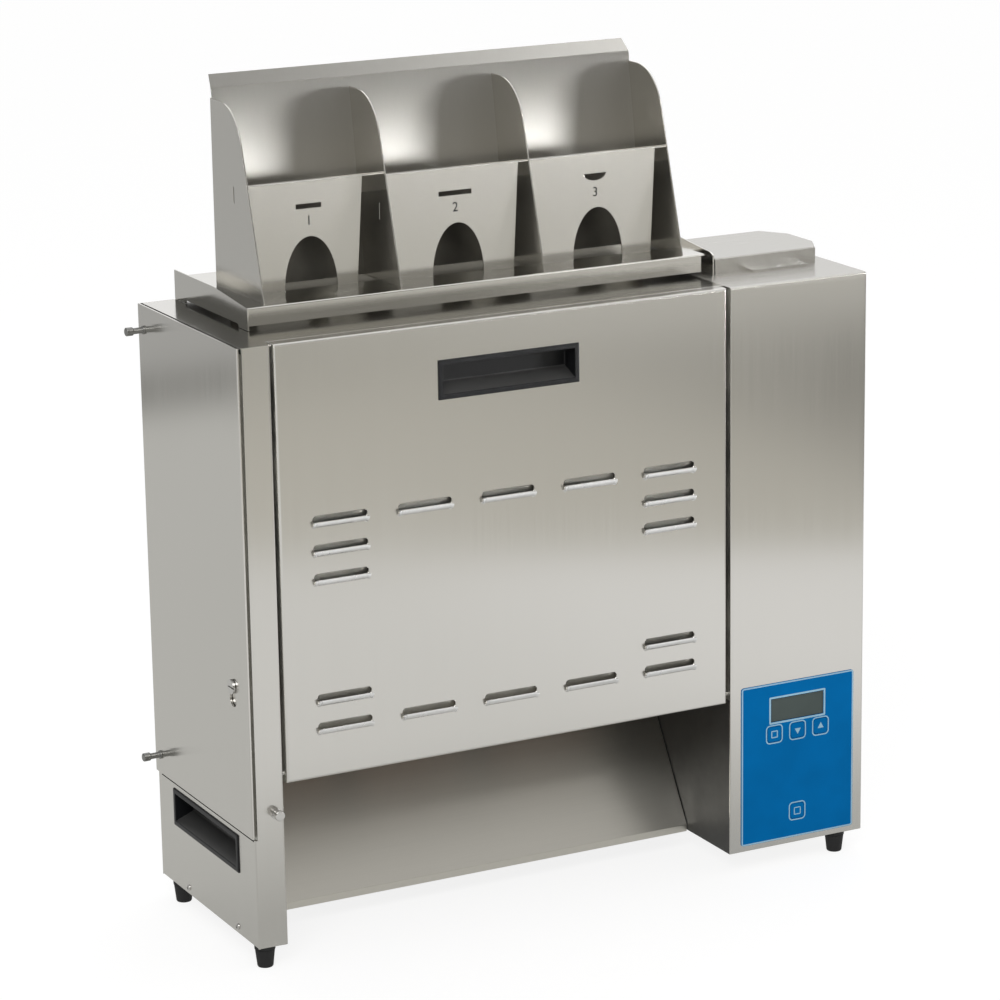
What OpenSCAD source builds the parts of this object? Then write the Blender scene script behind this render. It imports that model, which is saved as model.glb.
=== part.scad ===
// Upright conveyor toaster for buns and bread: a narrow steel cabinet with a
// three-lane feeder on top, a belt that carries the bread down a heated plate,
// and a discharge ramp at the front of the base.
// Cabinet places are measured from the cabinet's front left bottom corner,
// X to the right, Y to the back and Z up, and place() moves them to the
// middle of the whole object's footprint, at the surface that it stands on.

/* [Cabinet] */
// Width from the left cover to the right side
cab_w = 570; // [560:1:590]
// Depth from the front panel to the back
cab_d = 199.5; // [197:0.5:206]
// Height of the cabinet above its feet
cab_h = 490; // [486:1:500]
// Thickness of the cabinet's folded sheet
sheet = 1.5; // [1.2:0.1:1.8]
// Height of the rubber feet
foot_h = 18; // [14:1:22]
// Width of the post at the left of the front
post_w = 27.8; // [26:0.2:29]
// Distance from the left to the control housing
bay_r = 438.4; // [436:0.1:442]
// Height of the seam below the left cover
seam_z = 91.5; // [89:0.5:94]

/* [Front panel] */
// Left edge of the front panel
panel_l = 30.8; // [30.2:0.2:32]
// Right edge of the front panel
panel_r = 434.9; // [432:0.1:436]
// Bottom edge of the front panel
panel_z = 134.7; // [132:0.1:136]
// Width of one louvre
louvre_w = 52; // [48:1:56]
// Distance between louvre columns
louvre_dx = 74.2; // [70:0.1:76]
// Distance between stacked louvres
louvre_dz = 23.5; // [20:0.5:25]

/* [Pulls] */
// Width of the recessed pull on the front panel
front_pull_w = 126; // [116:1:130]
// Width of the recessed pull on the left side
side_pull_w = 133; // [120:1:135]
// Height of both pulls
pull_h = 32; // [30:1:34]
// Depth of the finger pocket
pull_d = 16; // [12:1:17]

/* [Feeder] */
// Front face of the tray lip
tray_y = 53; // [50:0.5:56]
// Height of the tray floor above the cabinet's bottom
tray_z = 508.6; // [507:0.1:512]
// Thickness of the feeder's sheet
thin = 1.2; // [1:0.1:1.5]
// Height of the dividers above the tray
divider_h = 150.3; // [140:0.1:160]
// Radius of a divider's rounded top
divider_r = 42; // [36:1:46]
// Height of the lane plates above the tray
lane_plate_h = 87; // [80:1:95]
// Height of an arched opening
arch_h = 42; // [38:1:48]
// Width of an arched opening
arch_w = 46; // [40:1:50]

/* [Conveyor] */
// Diameter of the conveyor shafts
shaft_d = 12; // [10:1:14]
// Radius of the belt rollers
roller_r = 30; // [28:0.5:31]
// Height of the lower conveyor shaft
drive_z = 178; // [176:1:182]
// Height of the upper conveyor shaft
idler_z = 446; // [440:1:450]
// Thickness of the belts
belt_t = 2.7; // [2:0.1:2.9]

/* [Drive gears] */
// Teeth on the conveyor gear
gear_teeth = 30; // [30]
// Teeth on the motor pinion
pinion_teeth = 15; // [15]
// Gear module, pitch diameter over teeth
gear_module = 2; // [2]

/* [Heated plate] */
// Front face of the heated plate
platen_y = 117; // [112:0.5:120]
// Thickness of the heated plate
platen_t = 16; // [14:1:18]
// Diameter of a heating rod
heater_d = 8; // [6:0.5:9]

/* [Hidden] */

$fn = 48;
eps = 0.01;

// Parts that reach beyond the cabinet and set the size of the whole object
pin_len = 16;
stud_len = 9;
inlet_t = 3;
mid_x = (cab_w - pin_len) / 2;
mid_y = (cab_d + inlet_t - stud_len) / 2;

// Cabinet
wall_x = 2;
cover_t = 1.6;
cover_gap = 4;
jog_y = 6;
seam_gap = 2.8;
inner_d = cab_d - sheet;
post_depth = 20;
foot_x = [11, 548];
foot_y = [9, 176];
foot_screw_d = 5;

// Side cover
pin_d = 7;
pin_neck = 5;
pin_head = 6;
pin_upper = [188, 470];
pin_lower = [188, 109];
hang_y = 30;
hang_z = 212;
hang_lift = 10;
shoulder_d = 6;
hang_head_d = 12;
hook_y = [164.5, 178.5];
hook_z = [150, 400];
hook_drop = 8;

// Front panel's hinge and stop pins, and its magnet catches
hinge_y = 6;
hinge_z = 142;
hinge_d = 4;
hinge_fit = 0.05;
stop_y = 16.7;
stop_z = 141.2;
stop_d = 5;
catch_x = [70, 380];

// Pulls
front_pull_x = 234;
front_pull_z = 445;
side_pull_y = 100.5;
side_pull_z = 70;
bezel = 4;
bezel_t = 1.2;

// Louvres: [column, height] with columns counted from the panel's middle
louvre_mid = 231.5;
louvre_top_z = 345.9;
louvre_low_z = 176.6;
louvre_gap = 6.4;
lip_r = 3.5;
lip_t = 1.2;
lip_drop = 2.1;
louvre_rows = concat(
  [for (c = [-2:2]) [c, louvre_top_z]],
  [for (c = [-2, 2], k = [1, 2]) [c, louvre_top_z - k * louvre_dz]],
  [for (c = [-2:2]) [c, louvre_low_z]],
  [for (c = [-2, 2]) [c, louvre_low_z + louvre_dz]]
);
flange = 12;
stud_x = 20.4;
stud_z = 112;

// Opening in the top deck over the toasting gap
throat_x = [46, 432];
throat_y = [86.2, 126.4];

// Ramp
ramp_foot_y = 72;
ramp_lip = 5;
ramp_low = -1.2;
ramp_top = [142, 122];
ramp_l = 28.6;
ramp_r = 437.9;

// Feeder
flange_l = 32.8;
flange_r = 452.8;
lip_end = 441.5;
floor_end = 445;
tray_back = cab_d - 0.5;
lip_bottom = 494;
deck_gap = 0.3;
flange_top = 514.2;
leg_h = 2.7;
divider_x = [50.6, 170, 299, 428];
divider_foot_y = 60;
divider_back_y = 153;
arc_y = 134.9;
lane_y = [98, 88, 88];
lane_r_top = [155.5, 290.5, 418.1];
lane_r_low = [149.5, 285.5, 413.5];
back_foot_y = 127.2;
fold_y = 150;
fold_z = 667;
crest_y = 152;
crest_z = 677.6;

// Conveyor
conv_y = 54;
belt_gap = 0.3;
belt_w = 104;
belt_in = roller_r + belt_gap;
belt_out = belt_in + belt_t;
lane_mid = [for (i = [0:2]) (divider_x[i] + divider_x[i + 1]) / 2];
bush_fit = 0.03;
bush_d = 22;
shaft_l = 18;
roller_wall = 3;
gear_x = 446;
gear_w = 9;
motor_z = drive_z + gear_module * (gear_teeth + pinion_teeth) / 2;
motor_shaft_d = 8;
motor_shaft_in = 14;
bracket_x = 459;
bracket_t = 2.5;

// Heated plate
platen_x = [48, 430];
platen_z = [160, 480];
platen_lead = [10, 28];
probe_z = 440;
heater_z = [215, 305, 395];
post_x = [80, 400];
post_z = [188, 445];
insulation_t = 13;

// Control panel
overlay = [449, 5.4, 560, 145.8];
overlay_t = 0.7;
display_box = [478, 111.5, 530, 132];
key_places = [[481.3, 100.7], [504.3, 100.7], [527.2, 100.7], [504.3, 28.5]];
key_s = 13;
key_fit = 0.35;
board_y = 7.5;

// Fan and fittings at the back of the housing
fan_x = 504;
fan_z = 385;
fan_y = 173;
fan_s = 80;
fan_bore = 76;
hub_d = 32;
spindle_d = 6;
inlet_x = 532;
inlet_z = 62;

// Moves cabinet places to the object's own frame
module place() {
  translate([-mid_x, -mid_y, foot_h]) children();
}

// A box given by its lowest and highest corners
module box(a, b) {
  translate(a) cube(b - a);
}

// Turns a flat drawing of depth and height into a plate that runs along X
module along_x(x0, x1) {
  translate([x0, 0, 0]) rotate([90, 0, 90]) linear_extrude(x1 - x0) children();
}

// Turns a flat drawing of width and height into a plate that runs along Y
module along_y(y0, y1) {
  translate([0, y1, 0]) rotate([90, 0, 0]) linear_extrude(y1 - y0) children();
}

// A rod along X, with its axis at depth y and height z
module rod_x(x0, x1, y, z, d) {
  translate([x0, y, z]) rotate([0, 90, 0]) cylinder(h = x1 - x0, d = d);
}

// A rod along Y
module rod_y(y0, y1, x, z, d) {
  translate([x, y1, z]) rotate([90, 0, 0]) cylinder(h = y1 - y0, d = d);
}

// A slot with round ends, drawn flat and centred
module slot_2d(length, height) {
  square([length - height, height], center = true);
  for (s = [-1, 1]) translate([s * (length - height) / 2, 0]) circle(d = height);
}

// A rectangle with round corners, drawn flat between two corners
module round_rect(x0, y0, x1, y1, r) {
  translate([x0 + r, y0]) square([x1 - x0 - 2 * r, y1 - y0]);
  translate([x0, y0 + r]) square([x1 - x0, y1 - y0 - 2 * r]);
  for (x = [x0 + r, x1 - r], y = [y0 + r, y1 - r]) translate([x, y]) circle(r);
}

// ---- Cabinet ----

module left_frame() {
  cut_w = side_pull_w - 2 * bezel + 3;
  cut_h = pull_h - 2 * bezel + 3;
  color("lightgray") place() difference() {
    union() {
      box([wall_x, 0, 0], [wall_x + sheet, inner_d, seam_z]);
      box([wall_x, jog_y, seam_z - eps], [wall_x + sheet, inner_d, cab_h - 5]);
      box([wall_x, 0, 0], [post_w, sheet, seam_z]);
      box([cover_gap, 0, seam_z - eps], [post_w, sheet, cab_h]);
      // the post's edge steps back and joins the wall behind the cover
      box([cover_gap, 0, seam_z - eps], [cover_gap + sheet, jog_y + sheet, cab_h - 5]);
      box([wall_x, jog_y, seam_z - eps], [cover_gap + sheet, jog_y + sheet, cab_h - 5]);
      box([post_w - sheet, 0, 0], [post_w, post_depth, cab_h - sheet]);
      box([wall_x, 0, 0], [post_w, inner_d, sheet]);
    }
    // open seam below the side cover
    box(
      [wall_x - 1, 2 * sheet, seam_z + 1.2 - seam_gap],
      [wall_x + sheet + 0.1, inner_d - 6, seam_z + 1.2]
    );
    // service opening behind the side cover
    box([0, 44, 128], [wall_x + 2 * sheet, 160, 452]);
    box(
      [0, side_pull_y - cut_w / 2, side_pull_z - cut_h / 2],
      [wall_x + 2 * sheet, side_pull_y + cut_w / 2, side_pull_z + cut_h / 2]
    );
    for (y = foot_y) translate([foot_x[0], y, -1]) cylinder(h = 4, d = foot_screw_d);
    rod_x(0, 6, hang_y, hang_z, shoulder_d);
    rod_y(-1, 4, stud_x, stud_z, shoulder_d);
    for (z = hook_z) box(
      [0, hook_y[0] - 0.5, z - 0.3],
      [wall_x + 2 * sheet, hook_y[1] + 0.5, z + 3.3 + hang_lift]
    );
  }
}

module side_cover() {
  hook_in = wall_x + sheet + 0.4;
  color("silver") place() difference() {
    union() {
      box([0, 0.6, seam_z + 1.2], [cover_t, cab_d - 0.5, cab_h]);
      // hooks that drop behind the frame's slots
      for (z = hook_z) {
        box([cover_t - eps, hook_y[0], z], [hook_in + 1.4, hook_y[1], z + 3]);
        box([hook_in, hook_y[0], z - hook_drop], [hook_in + 1.4, hook_y[1], z + eps]);
      }
    }
    // keyhole that hangs on the shoulder screw
    rod_x(-1, 4, hang_y, hang_z - hang_lift, hang_head_d + 1.5);
    rod_x(-1, 4, hang_y, hang_z, shoulder_d + 0.6);
    box(
      [-1, hang_y - shoulder_d / 2 - 0.3, hang_z - hang_lift],
      [4, hang_y + shoulder_d / 2 + 0.3, hang_z]
    );
    for (p = [pin_upper, pin_lower]) rod_x(-1, 4, p[0], p[1], 5);
  }
}

module cover_pins() {
  color("dimgray") place() for (p = [pin_upper, pin_lower]) {
    rod_x(-pin_len, pin_head - pin_len, p[0], p[1], pin_d);
    rod_x(-pin_len, 0, p[0], p[1], pin_neck);
    rod_x(-1.5, 0, p[0], p[1], pin_d);
    rod_x(-eps, cover_t, p[0], p[1], 5);
  }
}

module cover_screw() {
  color("gainsboro") place() difference() {
    union() {
      rod_x(-0.4, wall_x + sheet, hang_y, hang_z, shoulder_d);
      rod_x(-2.4, -0.4, hang_y, hang_z, hang_head_d);
    }
    box([-3, hang_y - 7, hang_z - 0.7], [-1.4, hang_y + 7, hang_z + 0.7]);
  }
}

// A recessed pull: bezel, and a pocket that is deeper behind its upper lip.
// Drawn with its face towards -Y and its middle at the origin.
module recess_pull(w, wall_face) {
  pocket_w = w - 2 * bezel;
  pocket_h = pull_h - 2 * bezel;
  difference() {
    union() {
      box([-w / 2, -bezel_t, -pull_h / 2], [w / 2, 0, pull_h / 2]);
      box(
        [-pocket_w / 2 - 1.2, -eps, -pocket_h / 2 - 1.2],
        [pocket_w / 2 + 1.2, pull_d + 1.5, pocket_h / 2 + 1.2]
      );
    }
    translate([0, 0, 0]) along_x(-pocket_w / 2, pocket_w / 2) polygon([
      [-bezel_t - 1, -pocket_h / 2], [0, -pocket_h / 2],
      [pull_d, -pocket_h / 2 + 7], [pull_d, pocket_h / 2],
      [-bezel_t - 1, pocket_h / 2]
    ]);
  }
}

module side_pull() {
  color("#26272b") place() translate([wall_x, side_pull_y, side_pull_z])
    rotate([0, 0, -90]) recess_pull(side_pull_w);
}

module front_pull() {
  color("#26272b") place() translate([front_pull_x, 0, front_pull_z])
    recess_pull(front_pull_w);
}

// One louvre lip: a quarter ring with closed ends, open upwards
module louvre_lip() {
  half = louvre_w / 2 - 0.6;
  along_x(-half, half) difference() {
    circle(lip_r);
    circle(lip_r - lip_t);
    translate([0, -lip_r]) square([lip_r, 2 * lip_r]);
    translate([-lip_r, 0]) square([2 * lip_r, lip_r]);
  }
  for (s = [-1, 1]) along_x(s * half - 0.6, s * half + 0.6) difference() {
    circle(lip_r);
    translate([0, -lip_r]) square([lip_r, 2 * lip_r]);
    translate([-lip_r, 0]) square([2 * lip_r, lip_r]);
  }
}

module front_panel() {
  cut_w = front_pull_w - 2 * bezel + 3;
  cut_h = pull_h - 2 * bezel + 3;
  color("silver") place() {
    difference() {
      union() {
        box([panel_l, 0, panel_z], [panel_r, sheet, cab_h]);
        box([panel_l, 0, panel_z], [panel_l + sheet, flange, cab_h]);
        box([panel_r - sheet, 0, panel_z], [panel_r, flange, cab_h]);
        box([panel_l, 0, cab_h - sheet], [panel_r, flange, cab_h]);
        box([panel_l, 0, panel_z], [panel_r, flange - 2, panel_z + sheet]);
      }
      box(
        [front_pull_x - cut_w / 2, -1, front_pull_z - cut_h / 2],
        [front_pull_x + cut_w / 2, 4, front_pull_z + cut_h / 2]
      );
      for (p = louvre_rows) translate([louvre_mid + p[0] * louvre_dx, 0, p[1] + 0.2])
        along_y(-1, 4) slot_2d(louvre_w - 2.4, louvre_gap);
      rod_x(panel_l - 1, panel_r + 1, hinge_y, hinge_z, hinge_d + 2 * hinge_fit);
    }
    for (p = louvre_rows)
      translate([louvre_mid + p[0] * louvre_dx, 0, p[1] - lip_drop]) louvre_lip();
  }
}

// Pins that the panel turns on, and pins that stop its flanges when it's open
module panel_pins() {
  color("silver") place() for (x = [[post_w, panel_l + 3.4], [panel_r - 3.4, bay_r]]) {
    rod_x(x[0], x[1], hinge_y, hinge_z, hinge_d);
    rod_x(x[0], x[1], stop_y, stop_z, stop_d);
  }
}

module panel_catches() {
  color("#3a3a3c") place() for (x = catch_x)
    box([x - 14, flange + 0.6, cab_h - sheet - 12], [x + 14, flange + 9, cab_h - sheet]);
}

module post_stud() {
  color("gainsboro") place() {
    rod_y(-stud_len, sheet, stud_x, stud_z, shoulder_d);
    rod_y(-1.5, 0, stud_x, stud_z, 9);
    rod_y(-stud_len, 3.5 - stud_len, stud_x, stud_z, 8.5);
  }
}

module top_deck() {
  color("lightgray") place() difference() {
    union() {
      box([wall_x + sheet, sheet, cab_h - sheet], [post_w + 1.5, inner_d, cab_h]);
      box([wall_x + sheet, jog_y + sheet, cab_h - 14], [wall_x + 2 * sheet, inner_d, cab_h]);
      box([post_w, flange + 0.6, cab_h - sheet], [bay_r, inner_d, cab_h]);
    }
    box([throat_x[0], throat_y[0], cab_h - 5], [throat_x[1], throat_y[1], cab_h + 5]);
  }
}

module rear_panel() {
  slot_w = 60;
  color("lightgray") place() difference() {
    box([wall_x, inner_d, 0], [bay_r, cab_d, cab_h]);
    for (c = [-2:2], r = [0:3]) translate([220 + c * 80, inner_d, 165 + r * 85])
      along_y(-1, 4) slot_2d(slot_w, 6);
    for (x = post_x, z = post_z) rod_y(inner_d - 1, cab_d + 1, x, z, 6);
  }
}

module inner_plate() {
  color("gray") place() difference() {
    box([post_w - sheet, post_depth, sheet], [post_w, inner_d, cab_h - sheet]);
    for (z = [drive_z, idler_z]) rod_x(post_w - 4, post_w + 4, conv_y, z, bush_d);
  }
}

module base_channel() {
  color("gray") place() {
    box([post_w, 154, 0], [bay_r, inner_d, sheet]);
    box([post_w, 154, sheet], [bay_r, 154 + sheet, 30]);
  }
}

module housing_wall() {
  color("#4a4a4c") place() difference() {
    box([bay_r, sheet, 0], [bay_r + sheet, inner_d, cab_h - sheet]);
    for (z = [drive_z, idler_z]) rod_x(bay_r - 2, bay_r + 4, conv_y, z, bush_d);
    for (z = heater_z) rod_x(bay_r - 2, bay_r + 4, platen_y + platen_t / 2, z, 12);
    rod_x(bay_r - 2, bay_r + 4, platen_y + platen_t / 2, probe_z, 6);
  }
}

module housing_shell() {
  color("silver") place() difference() {
    union() {
      box([bay_r, 0, 0], [cab_w, sheet, cab_h]);
      box([cab_w - sheet, 0, 0], [cab_w, inner_d, cab_h]);
      box([bay_r, 0, cab_h - sheet], [cab_w, inner_d, cab_h]);
    }
    along_y(-1, 3) translate([display_box[0], display_box[1]])
      square([display_box[2] - display_box[0], display_box[3] - display_box[1]]);
    for (k = key_places) key_hole(k, -1, 3);
    // exhaust opening below the hood
    for (k = [0:5]) translate([480 + k * 13, 102, cab_h - 5])
      linear_extrude(10) rotate(90) slot_2d(52, 7);
  }
}

module housing_back() {
  color("lightgray") place() difference() {
    box([bay_r, inner_d, 0], [cab_w, cab_d, cab_h]);
    rod_y(inner_d - 1, cab_d + 1, fan_x, fan_z, fan_bore);
    box([inlet_x - 14, inner_d - 1, inlet_z - 10], [inlet_x + 14, cab_d + 1, inlet_z + 10]);
    for (r = [0:5]) translate([fan_x, inner_d, 180 + r * 16])
      along_y(-1, 4) slot_2d(70, 6);
  }
}

module housing_floor() {
  color("gray") place() difference() {
    box([bay_r + sheet, sheet, 0], [cab_w - sheet, inner_d, sheet]);
    for (y = foot_y) translate([foot_x[1], y, -1]) cylinder(h = 4, d = foot_screw_d);
    for (k = [0:4]) translate([504, 45 + k * 14, -1]) linear_extrude(4) slot_2d(60, 6);
  }
}

// Raised hood over the exhaust slots, with a tongue in front and openings behind
module vent_hood() {
  hood_h = 13;
  color("silver") place() {
    difference() {
      translate([0, 0, cab_h]) linear_extrude(hood_h) hood_2d(0);
      translate([0, 0, cab_h - 1]) linear_extrude(hood_h + 1 - thin) hood_2d(thin);
      for (k = [0:3]) box(
        [470 + k * 20, 135, cab_h + 4],
        [484 + k * 20, 150, cab_h + 9]
      );
    }
    difference() {
      box([487, 45, cab_h], [541, 57 + eps, cab_h + 2]);
      translate([514, 50, cab_h - 1]) cylinder(h = 4, d = 3.2);
    }
  }
}

// Outline of the hood, drawn flat and moved in by t
module hood_2d(t) {
  polygon([
    [457.5 + t, 57 + t], [555 - 0.6 * t, 57 + t], [567 - t, 80 + 0.3 * t],
    [567 - t, 119 - 0.3 * t], [552 - 0.6 * t, 143 - t], [457.5 + t, 143 - t]
  ]);
}

module feet() {
  color("#1c1c1d") place() for (x = foot_x, y = foot_y) translate([x, y, -foot_h])
    difference() {
      cylinder(h = foot_h, d1 = 13, d2 = 17);
      translate([0, 0, -1]) cylinder(h = foot_h - 6, d = 8);
      cylinder(h = foot_h + 1, d = foot_screw_d);
    }
}

module foot_screws() {
  color("silver") place() for (x = foot_x, y = foot_y) translate([x, y, 0]) {
    translate([0, 0, -7]) cylinder(h = 7 + sheet, d = foot_screw_d);
    translate([0, 0, -10]) cylinder(h = 3, d = 7.6);
    translate([0, 0, sheet]) cylinder(h = 4, d = 9, $fn = 6);
  }
}

module cabinet_screws() {
  back = concat(
    [for (x = [14, 428, 450, 558], z = [20, 245, 470]) [x, z]],
    [for (x = [130, 310], z = [20, 470]) [x, z]]
  );
  color("silver") place() {
    for (p = back) rod_y(cab_d, cab_d + 2, p[0], p[1], 8);
    for (y = [41, 142]) rod_x(wall_x - 1.4, wall_x, y, 6, 5);
    translate([514, 50, cab_h + 2]) cylinder(h = 0.8, d = 5);
  }
}

// ---- Discharge ramp ----

// Flat drawing of a sheet that runs up the slope, offset down by low and high
module slope_2d(low, high) {
  run = ramp_top[0] - ramp_foot_y;
  rise = ramp_top[1] - ramp_lip;
  length = sqrt(run * run + rise * rise);
  n = [rise / length, -run / length];
  polygon([
    [ramp_foot_y + n[0] * low, ramp_lip + n[1] * low],
    [ramp_foot_y + n[0] * high, ramp_lip + n[1] * high],
    [ramp_top[0] + n[0] * high, ramp_top[1] + n[1] * high],
    [ramp_top[0] + n[0] * low, ramp_top[1] + n[1] * low]
  ]);
}

module ramp() {
  color("darkgray") place() along_x(ramp_l, ramp_r) {
    slope_2d(0, sheet);
    polygon([
      [ramp_foot_y, ramp_low], [ramp_foot_y + sheet, ramp_low],
      [ramp_foot_y + sheet, ramp_lip], [ramp_foot_y, ramp_lip]
    ]);
  }
}

module ramp_ledges() {
  color("gray") place() for (x = [[post_w, post_w + 9], [bay_r - 9, bay_r]])
    along_x(x[0], x[1]) intersection() {
      slope_2d(sheet + 0.3, sheet + 3);
      translate([0, 10]) square([160, 100]);
    }
}

// ---- Feeder ----

// Flat drawing of a tray end plate, with a notch between its two legs
module tray_end_2d() {
  base = cab_h + deck_gap;
  polygon([
    [tray_y, base], [tray_y + 18, base], [tray_y + 18, base + leg_h],
    [tray_back - 22, base + leg_h], [tray_back - 22, base], [tray_back, base],
    [tray_back, flange_top], [118, flange_top],
    [tray_y + 11, tray_z + 0.6], [tray_y + 5, tray_z + 0.2], [tray_y, tray_z - 2]
  ]);
}

module feeder_tray() {
  color("silver") place() {
    difference() {
      union() {
        box([flange_l + eps, tray_y, tray_z - thin], [floor_end, tray_back, tray_z]);
        box([floor_end - eps, tray_y + 20, tray_z - thin], [flange_r + eps, tray_back, tray_z]);
        box([flange_l, tray_y, lip_bottom], [lip_end, tray_y + thin, tray_z - eps]);
        box([flange_l, tray_back - thin, lip_bottom], [flange_r, tray_back, tray_z - eps]);
      }
      for (i = [0:2]) box(
        [divider_x[i] + thin, lane_y[i] + thin, tray_z - 5],
        [divider_x[i + 1] - thin, back_foot_y - 0.6, tray_z + 5]
      );
    }
    // skirt behind the lanes that closes the space down to the deck
    box(
      [divider_x[0], back_foot_y, cab_h + 0.8],
      [divider_x[3], back_foot_y + thin, tray_z - thin + eps]
    );
    along_x(flange_l, flange_l + thin) tray_end_2d();
    along_x(flange_r, flange_r + thin) tray_end_2d();
  }
}

// Depth of the back plate's front face at height z
function back_y(z) =
  back_foot_y + (fold_y - back_foot_y) * (z - tray_z) / (fold_z - tray_z);

// Flat drawing of a divider up to the depth back_edge gives at its foot and top
module divider_2d(foot_back, top_back) {
  top = tray_z + divider_h;
  arc_z = top - divider_r;
  // the front edge runs from the foot to touch the rounded top
  gap = [arc_y - divider_foot_y, arc_z - tray_z];
  reach = norm(gap);
  turn = atan2(gap[1], gap[0]) + asin(divider_r / reach);
  along = sqrt(reach * reach - divider_r * divider_r);
  touch = [divider_foot_y + along * cos(turn), tray_z + along * sin(turn)];
  start = atan2(touch[1] - arc_z, touch[0] - arc_y);
  steps = 14;
  polygon(concat(
    [[divider_foot_y, tray_z], touch],
    [for (k = [1:steps]) let (a = start + (90 - start - (start < 0 ? 360 : 0)) * k / steps)
      [arc_y + divider_r * cos(a), arc_z + divider_r * sin(a)]],
    [[min(top_back, divider_back_y), top], [foot_back, tray_z]]
  ));
}

module dividers() {
  top = tray_z + divider_h;
  color("darkgray") place() for (i = [0:3]) {
    outer = i == 0 || i == 3;
    difference() {
      along_x(divider_x[i] - thin / 2, divider_x[i] + thin / 2)
        divider_2d(
          outer ? divider_back_y : back_y(tray_z),
          outer ? divider_back_y : back_y(top)
        );
      // slits for the tabs of the lane guides
      if (i < 2) along_x(divider_x[i] - thin, divider_x[i] + thin)
        translate([112 - 16 * i, 587 - 22 * i]) square([1.6, 13], center = true);
    }
  }
}

// Flat drawing of a half ellipse, standing on its flat side
module arch_2d(w, h) {
  steps = 24;
  polygon([for (k = [0:steps]) [w / 2 * cos(180 * k / steps), h * sin(180 * k / steps)]]);
}

// Plates at the front of the lanes, with an arch to reach through, a sight
// slot, a slanted right edge, and a turned-back top edge that spans the lane
module lane_plates() {
  arch_x = [108.7, 234.9, 363.6];
  sight_x = [108, 233, 361.6];
  sight_w = [22, 29.5, 20.7];
  sight_z = 575;
  top = tray_z + lane_plate_h;
  color("silver") place() for (i = [0:2]) {
    x0 = divider_x[i] + thin / 2;
    x1 = divider_x[i + 1] - thin / 2;
    along_y(lane_y[i], lane_y[i] + thin) difference() {
      polygon([[x0, tray_z], [lane_r_low[i], tray_z], [lane_r_top[i], top], [x0, top]]);
      translate([arch_x[i], tray_z - eps]) arch_2d(arch_w, arch_h);
      if (i < 2)
        translate([sight_x[i] - sight_w[i] / 2, sight_z - 2]) square([sight_w[i], 4]);
      else
        translate([sight_x[i], sight_z + 3.8]) mirror([0, 1]) arch_2d(sight_w[i], 6);
    }
    box([x0, lane_y[i], top - thin], [x1, lane_y[i] + 5, top]);
  }
}

module back_plate() {
  left = divider_x[0] - thin / 2;
  right = divider_x[3] + thin / 2;
  top = tray_z + divider_h;
  clip = 5;
  color("silver") place() {
    along_x(divider_x[0] + thin / 2, divider_x[3] - thin / 2) polygon([
      [back_foot_y, tray_z], [back_foot_y + thin, tray_z],
      [back_y(top) + thin, top + eps], [back_y(top), top + eps]
    ]);
    difference() {
      along_x(left, right) polygon([
        [back_y(top), top], [back_y(top) + thin, top],
        [fold_y + thin, fold_z - 0.1], [crest_y + thin, crest_z - 0.2],
        [crest_y, crest_z], [fold_y, fold_z]
      ]);
      // right end of the crest is cut at a slant
      along_y(crest_y - 10, crest_y + 10) polygon([
        [right - clip, crest_z + 1], [right - clip, crest_z],
        [right, fold_z], [right + 1, fold_z], [right + 1, crest_z + 1]
      ]);
    }
  }
}

// ---- Conveyor ----

// Shaft with a retaining collar outside the left bearing plate
module shaft_at(z, x1) {
  color("silver") place() {
    rod_x(shaft_l, x1, conv_y, z, shaft_d);
    rod_x(20, 25.8, conv_y, z, 20);
  }
}

// Tubes on two pierced webs, one for each lane
module rollers_at(z) {
  half = belt_w / 2;
  color("darkgray") place() for (x = lane_mid) difference() {
    union() {
      difference() {
        rod_x(x - half, x + half, conv_y, z, 2 * roller_r);
        rod_x(x - half - 1, x + half + 1, conv_y, z, 2 * (roller_r - roller_wall));
      }
      for (s = [-1, 1]) {
        rod_x(x + s * (half - 8) - 2, x + s * (half - 8) + 2, conv_y, z, 2 * roller_r - 2);
        rod_x(x + s * (half - 6) - 8, x + s * (half - 6) + 8, conv_y, z, 24);
      }
    }
    rod_x(x - belt_w, x + belt_w, conv_y, z, shaft_d);
    for (a = [0:60:300])
      rod_x(x - half, x + half, conv_y + 19.5 * cos(a), z + 19.5 * sin(a), 9);
  }
}

module drive_shaft() {
  shaft_at(drive_z, gear_x + gear_w + 2);
}

module idler_shaft() {
  shaft_at(idler_z, 450);
}

module drive_rollers() {
  rollers_at(drive_z);
}

module idler_rollers() {
  rollers_at(idler_z);
}

// Flat drawing of the space inside a loop of radius r around both shafts
module loop_2d(r) {
  translate([conv_y - r, drive_z]) square([2 * r, idler_z - drive_z]);
  for (z = [drive_z, idler_z]) translate([conv_y, z]) circle(r, $fn = 96);
}

module belts() {
  color("#6b4a35") place() for (x = lane_mid)
    along_x(x - belt_w / 2 + 1, x + belt_w / 2 - 1) difference() {
      loop_2d(belt_out);
      loop_2d(belt_in);
    }
}

// Plate that backs the belts along the toasting gap, with a foot at each end
module belt_support() {
  face_y = conv_y + belt_in;
  color("gray") place() {
    box([post_w, face_y - 1.5, drive_z + 42], [bay_r, face_y, idler_z - 42]);
    for (x = [[post_w, post_w + 1.5], [bay_r - 1.5, bay_r]])
      box([x[0], 46, drive_z + 42], [x[1], face_y - 1.5, idler_z - 42]);
  }
}

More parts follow.
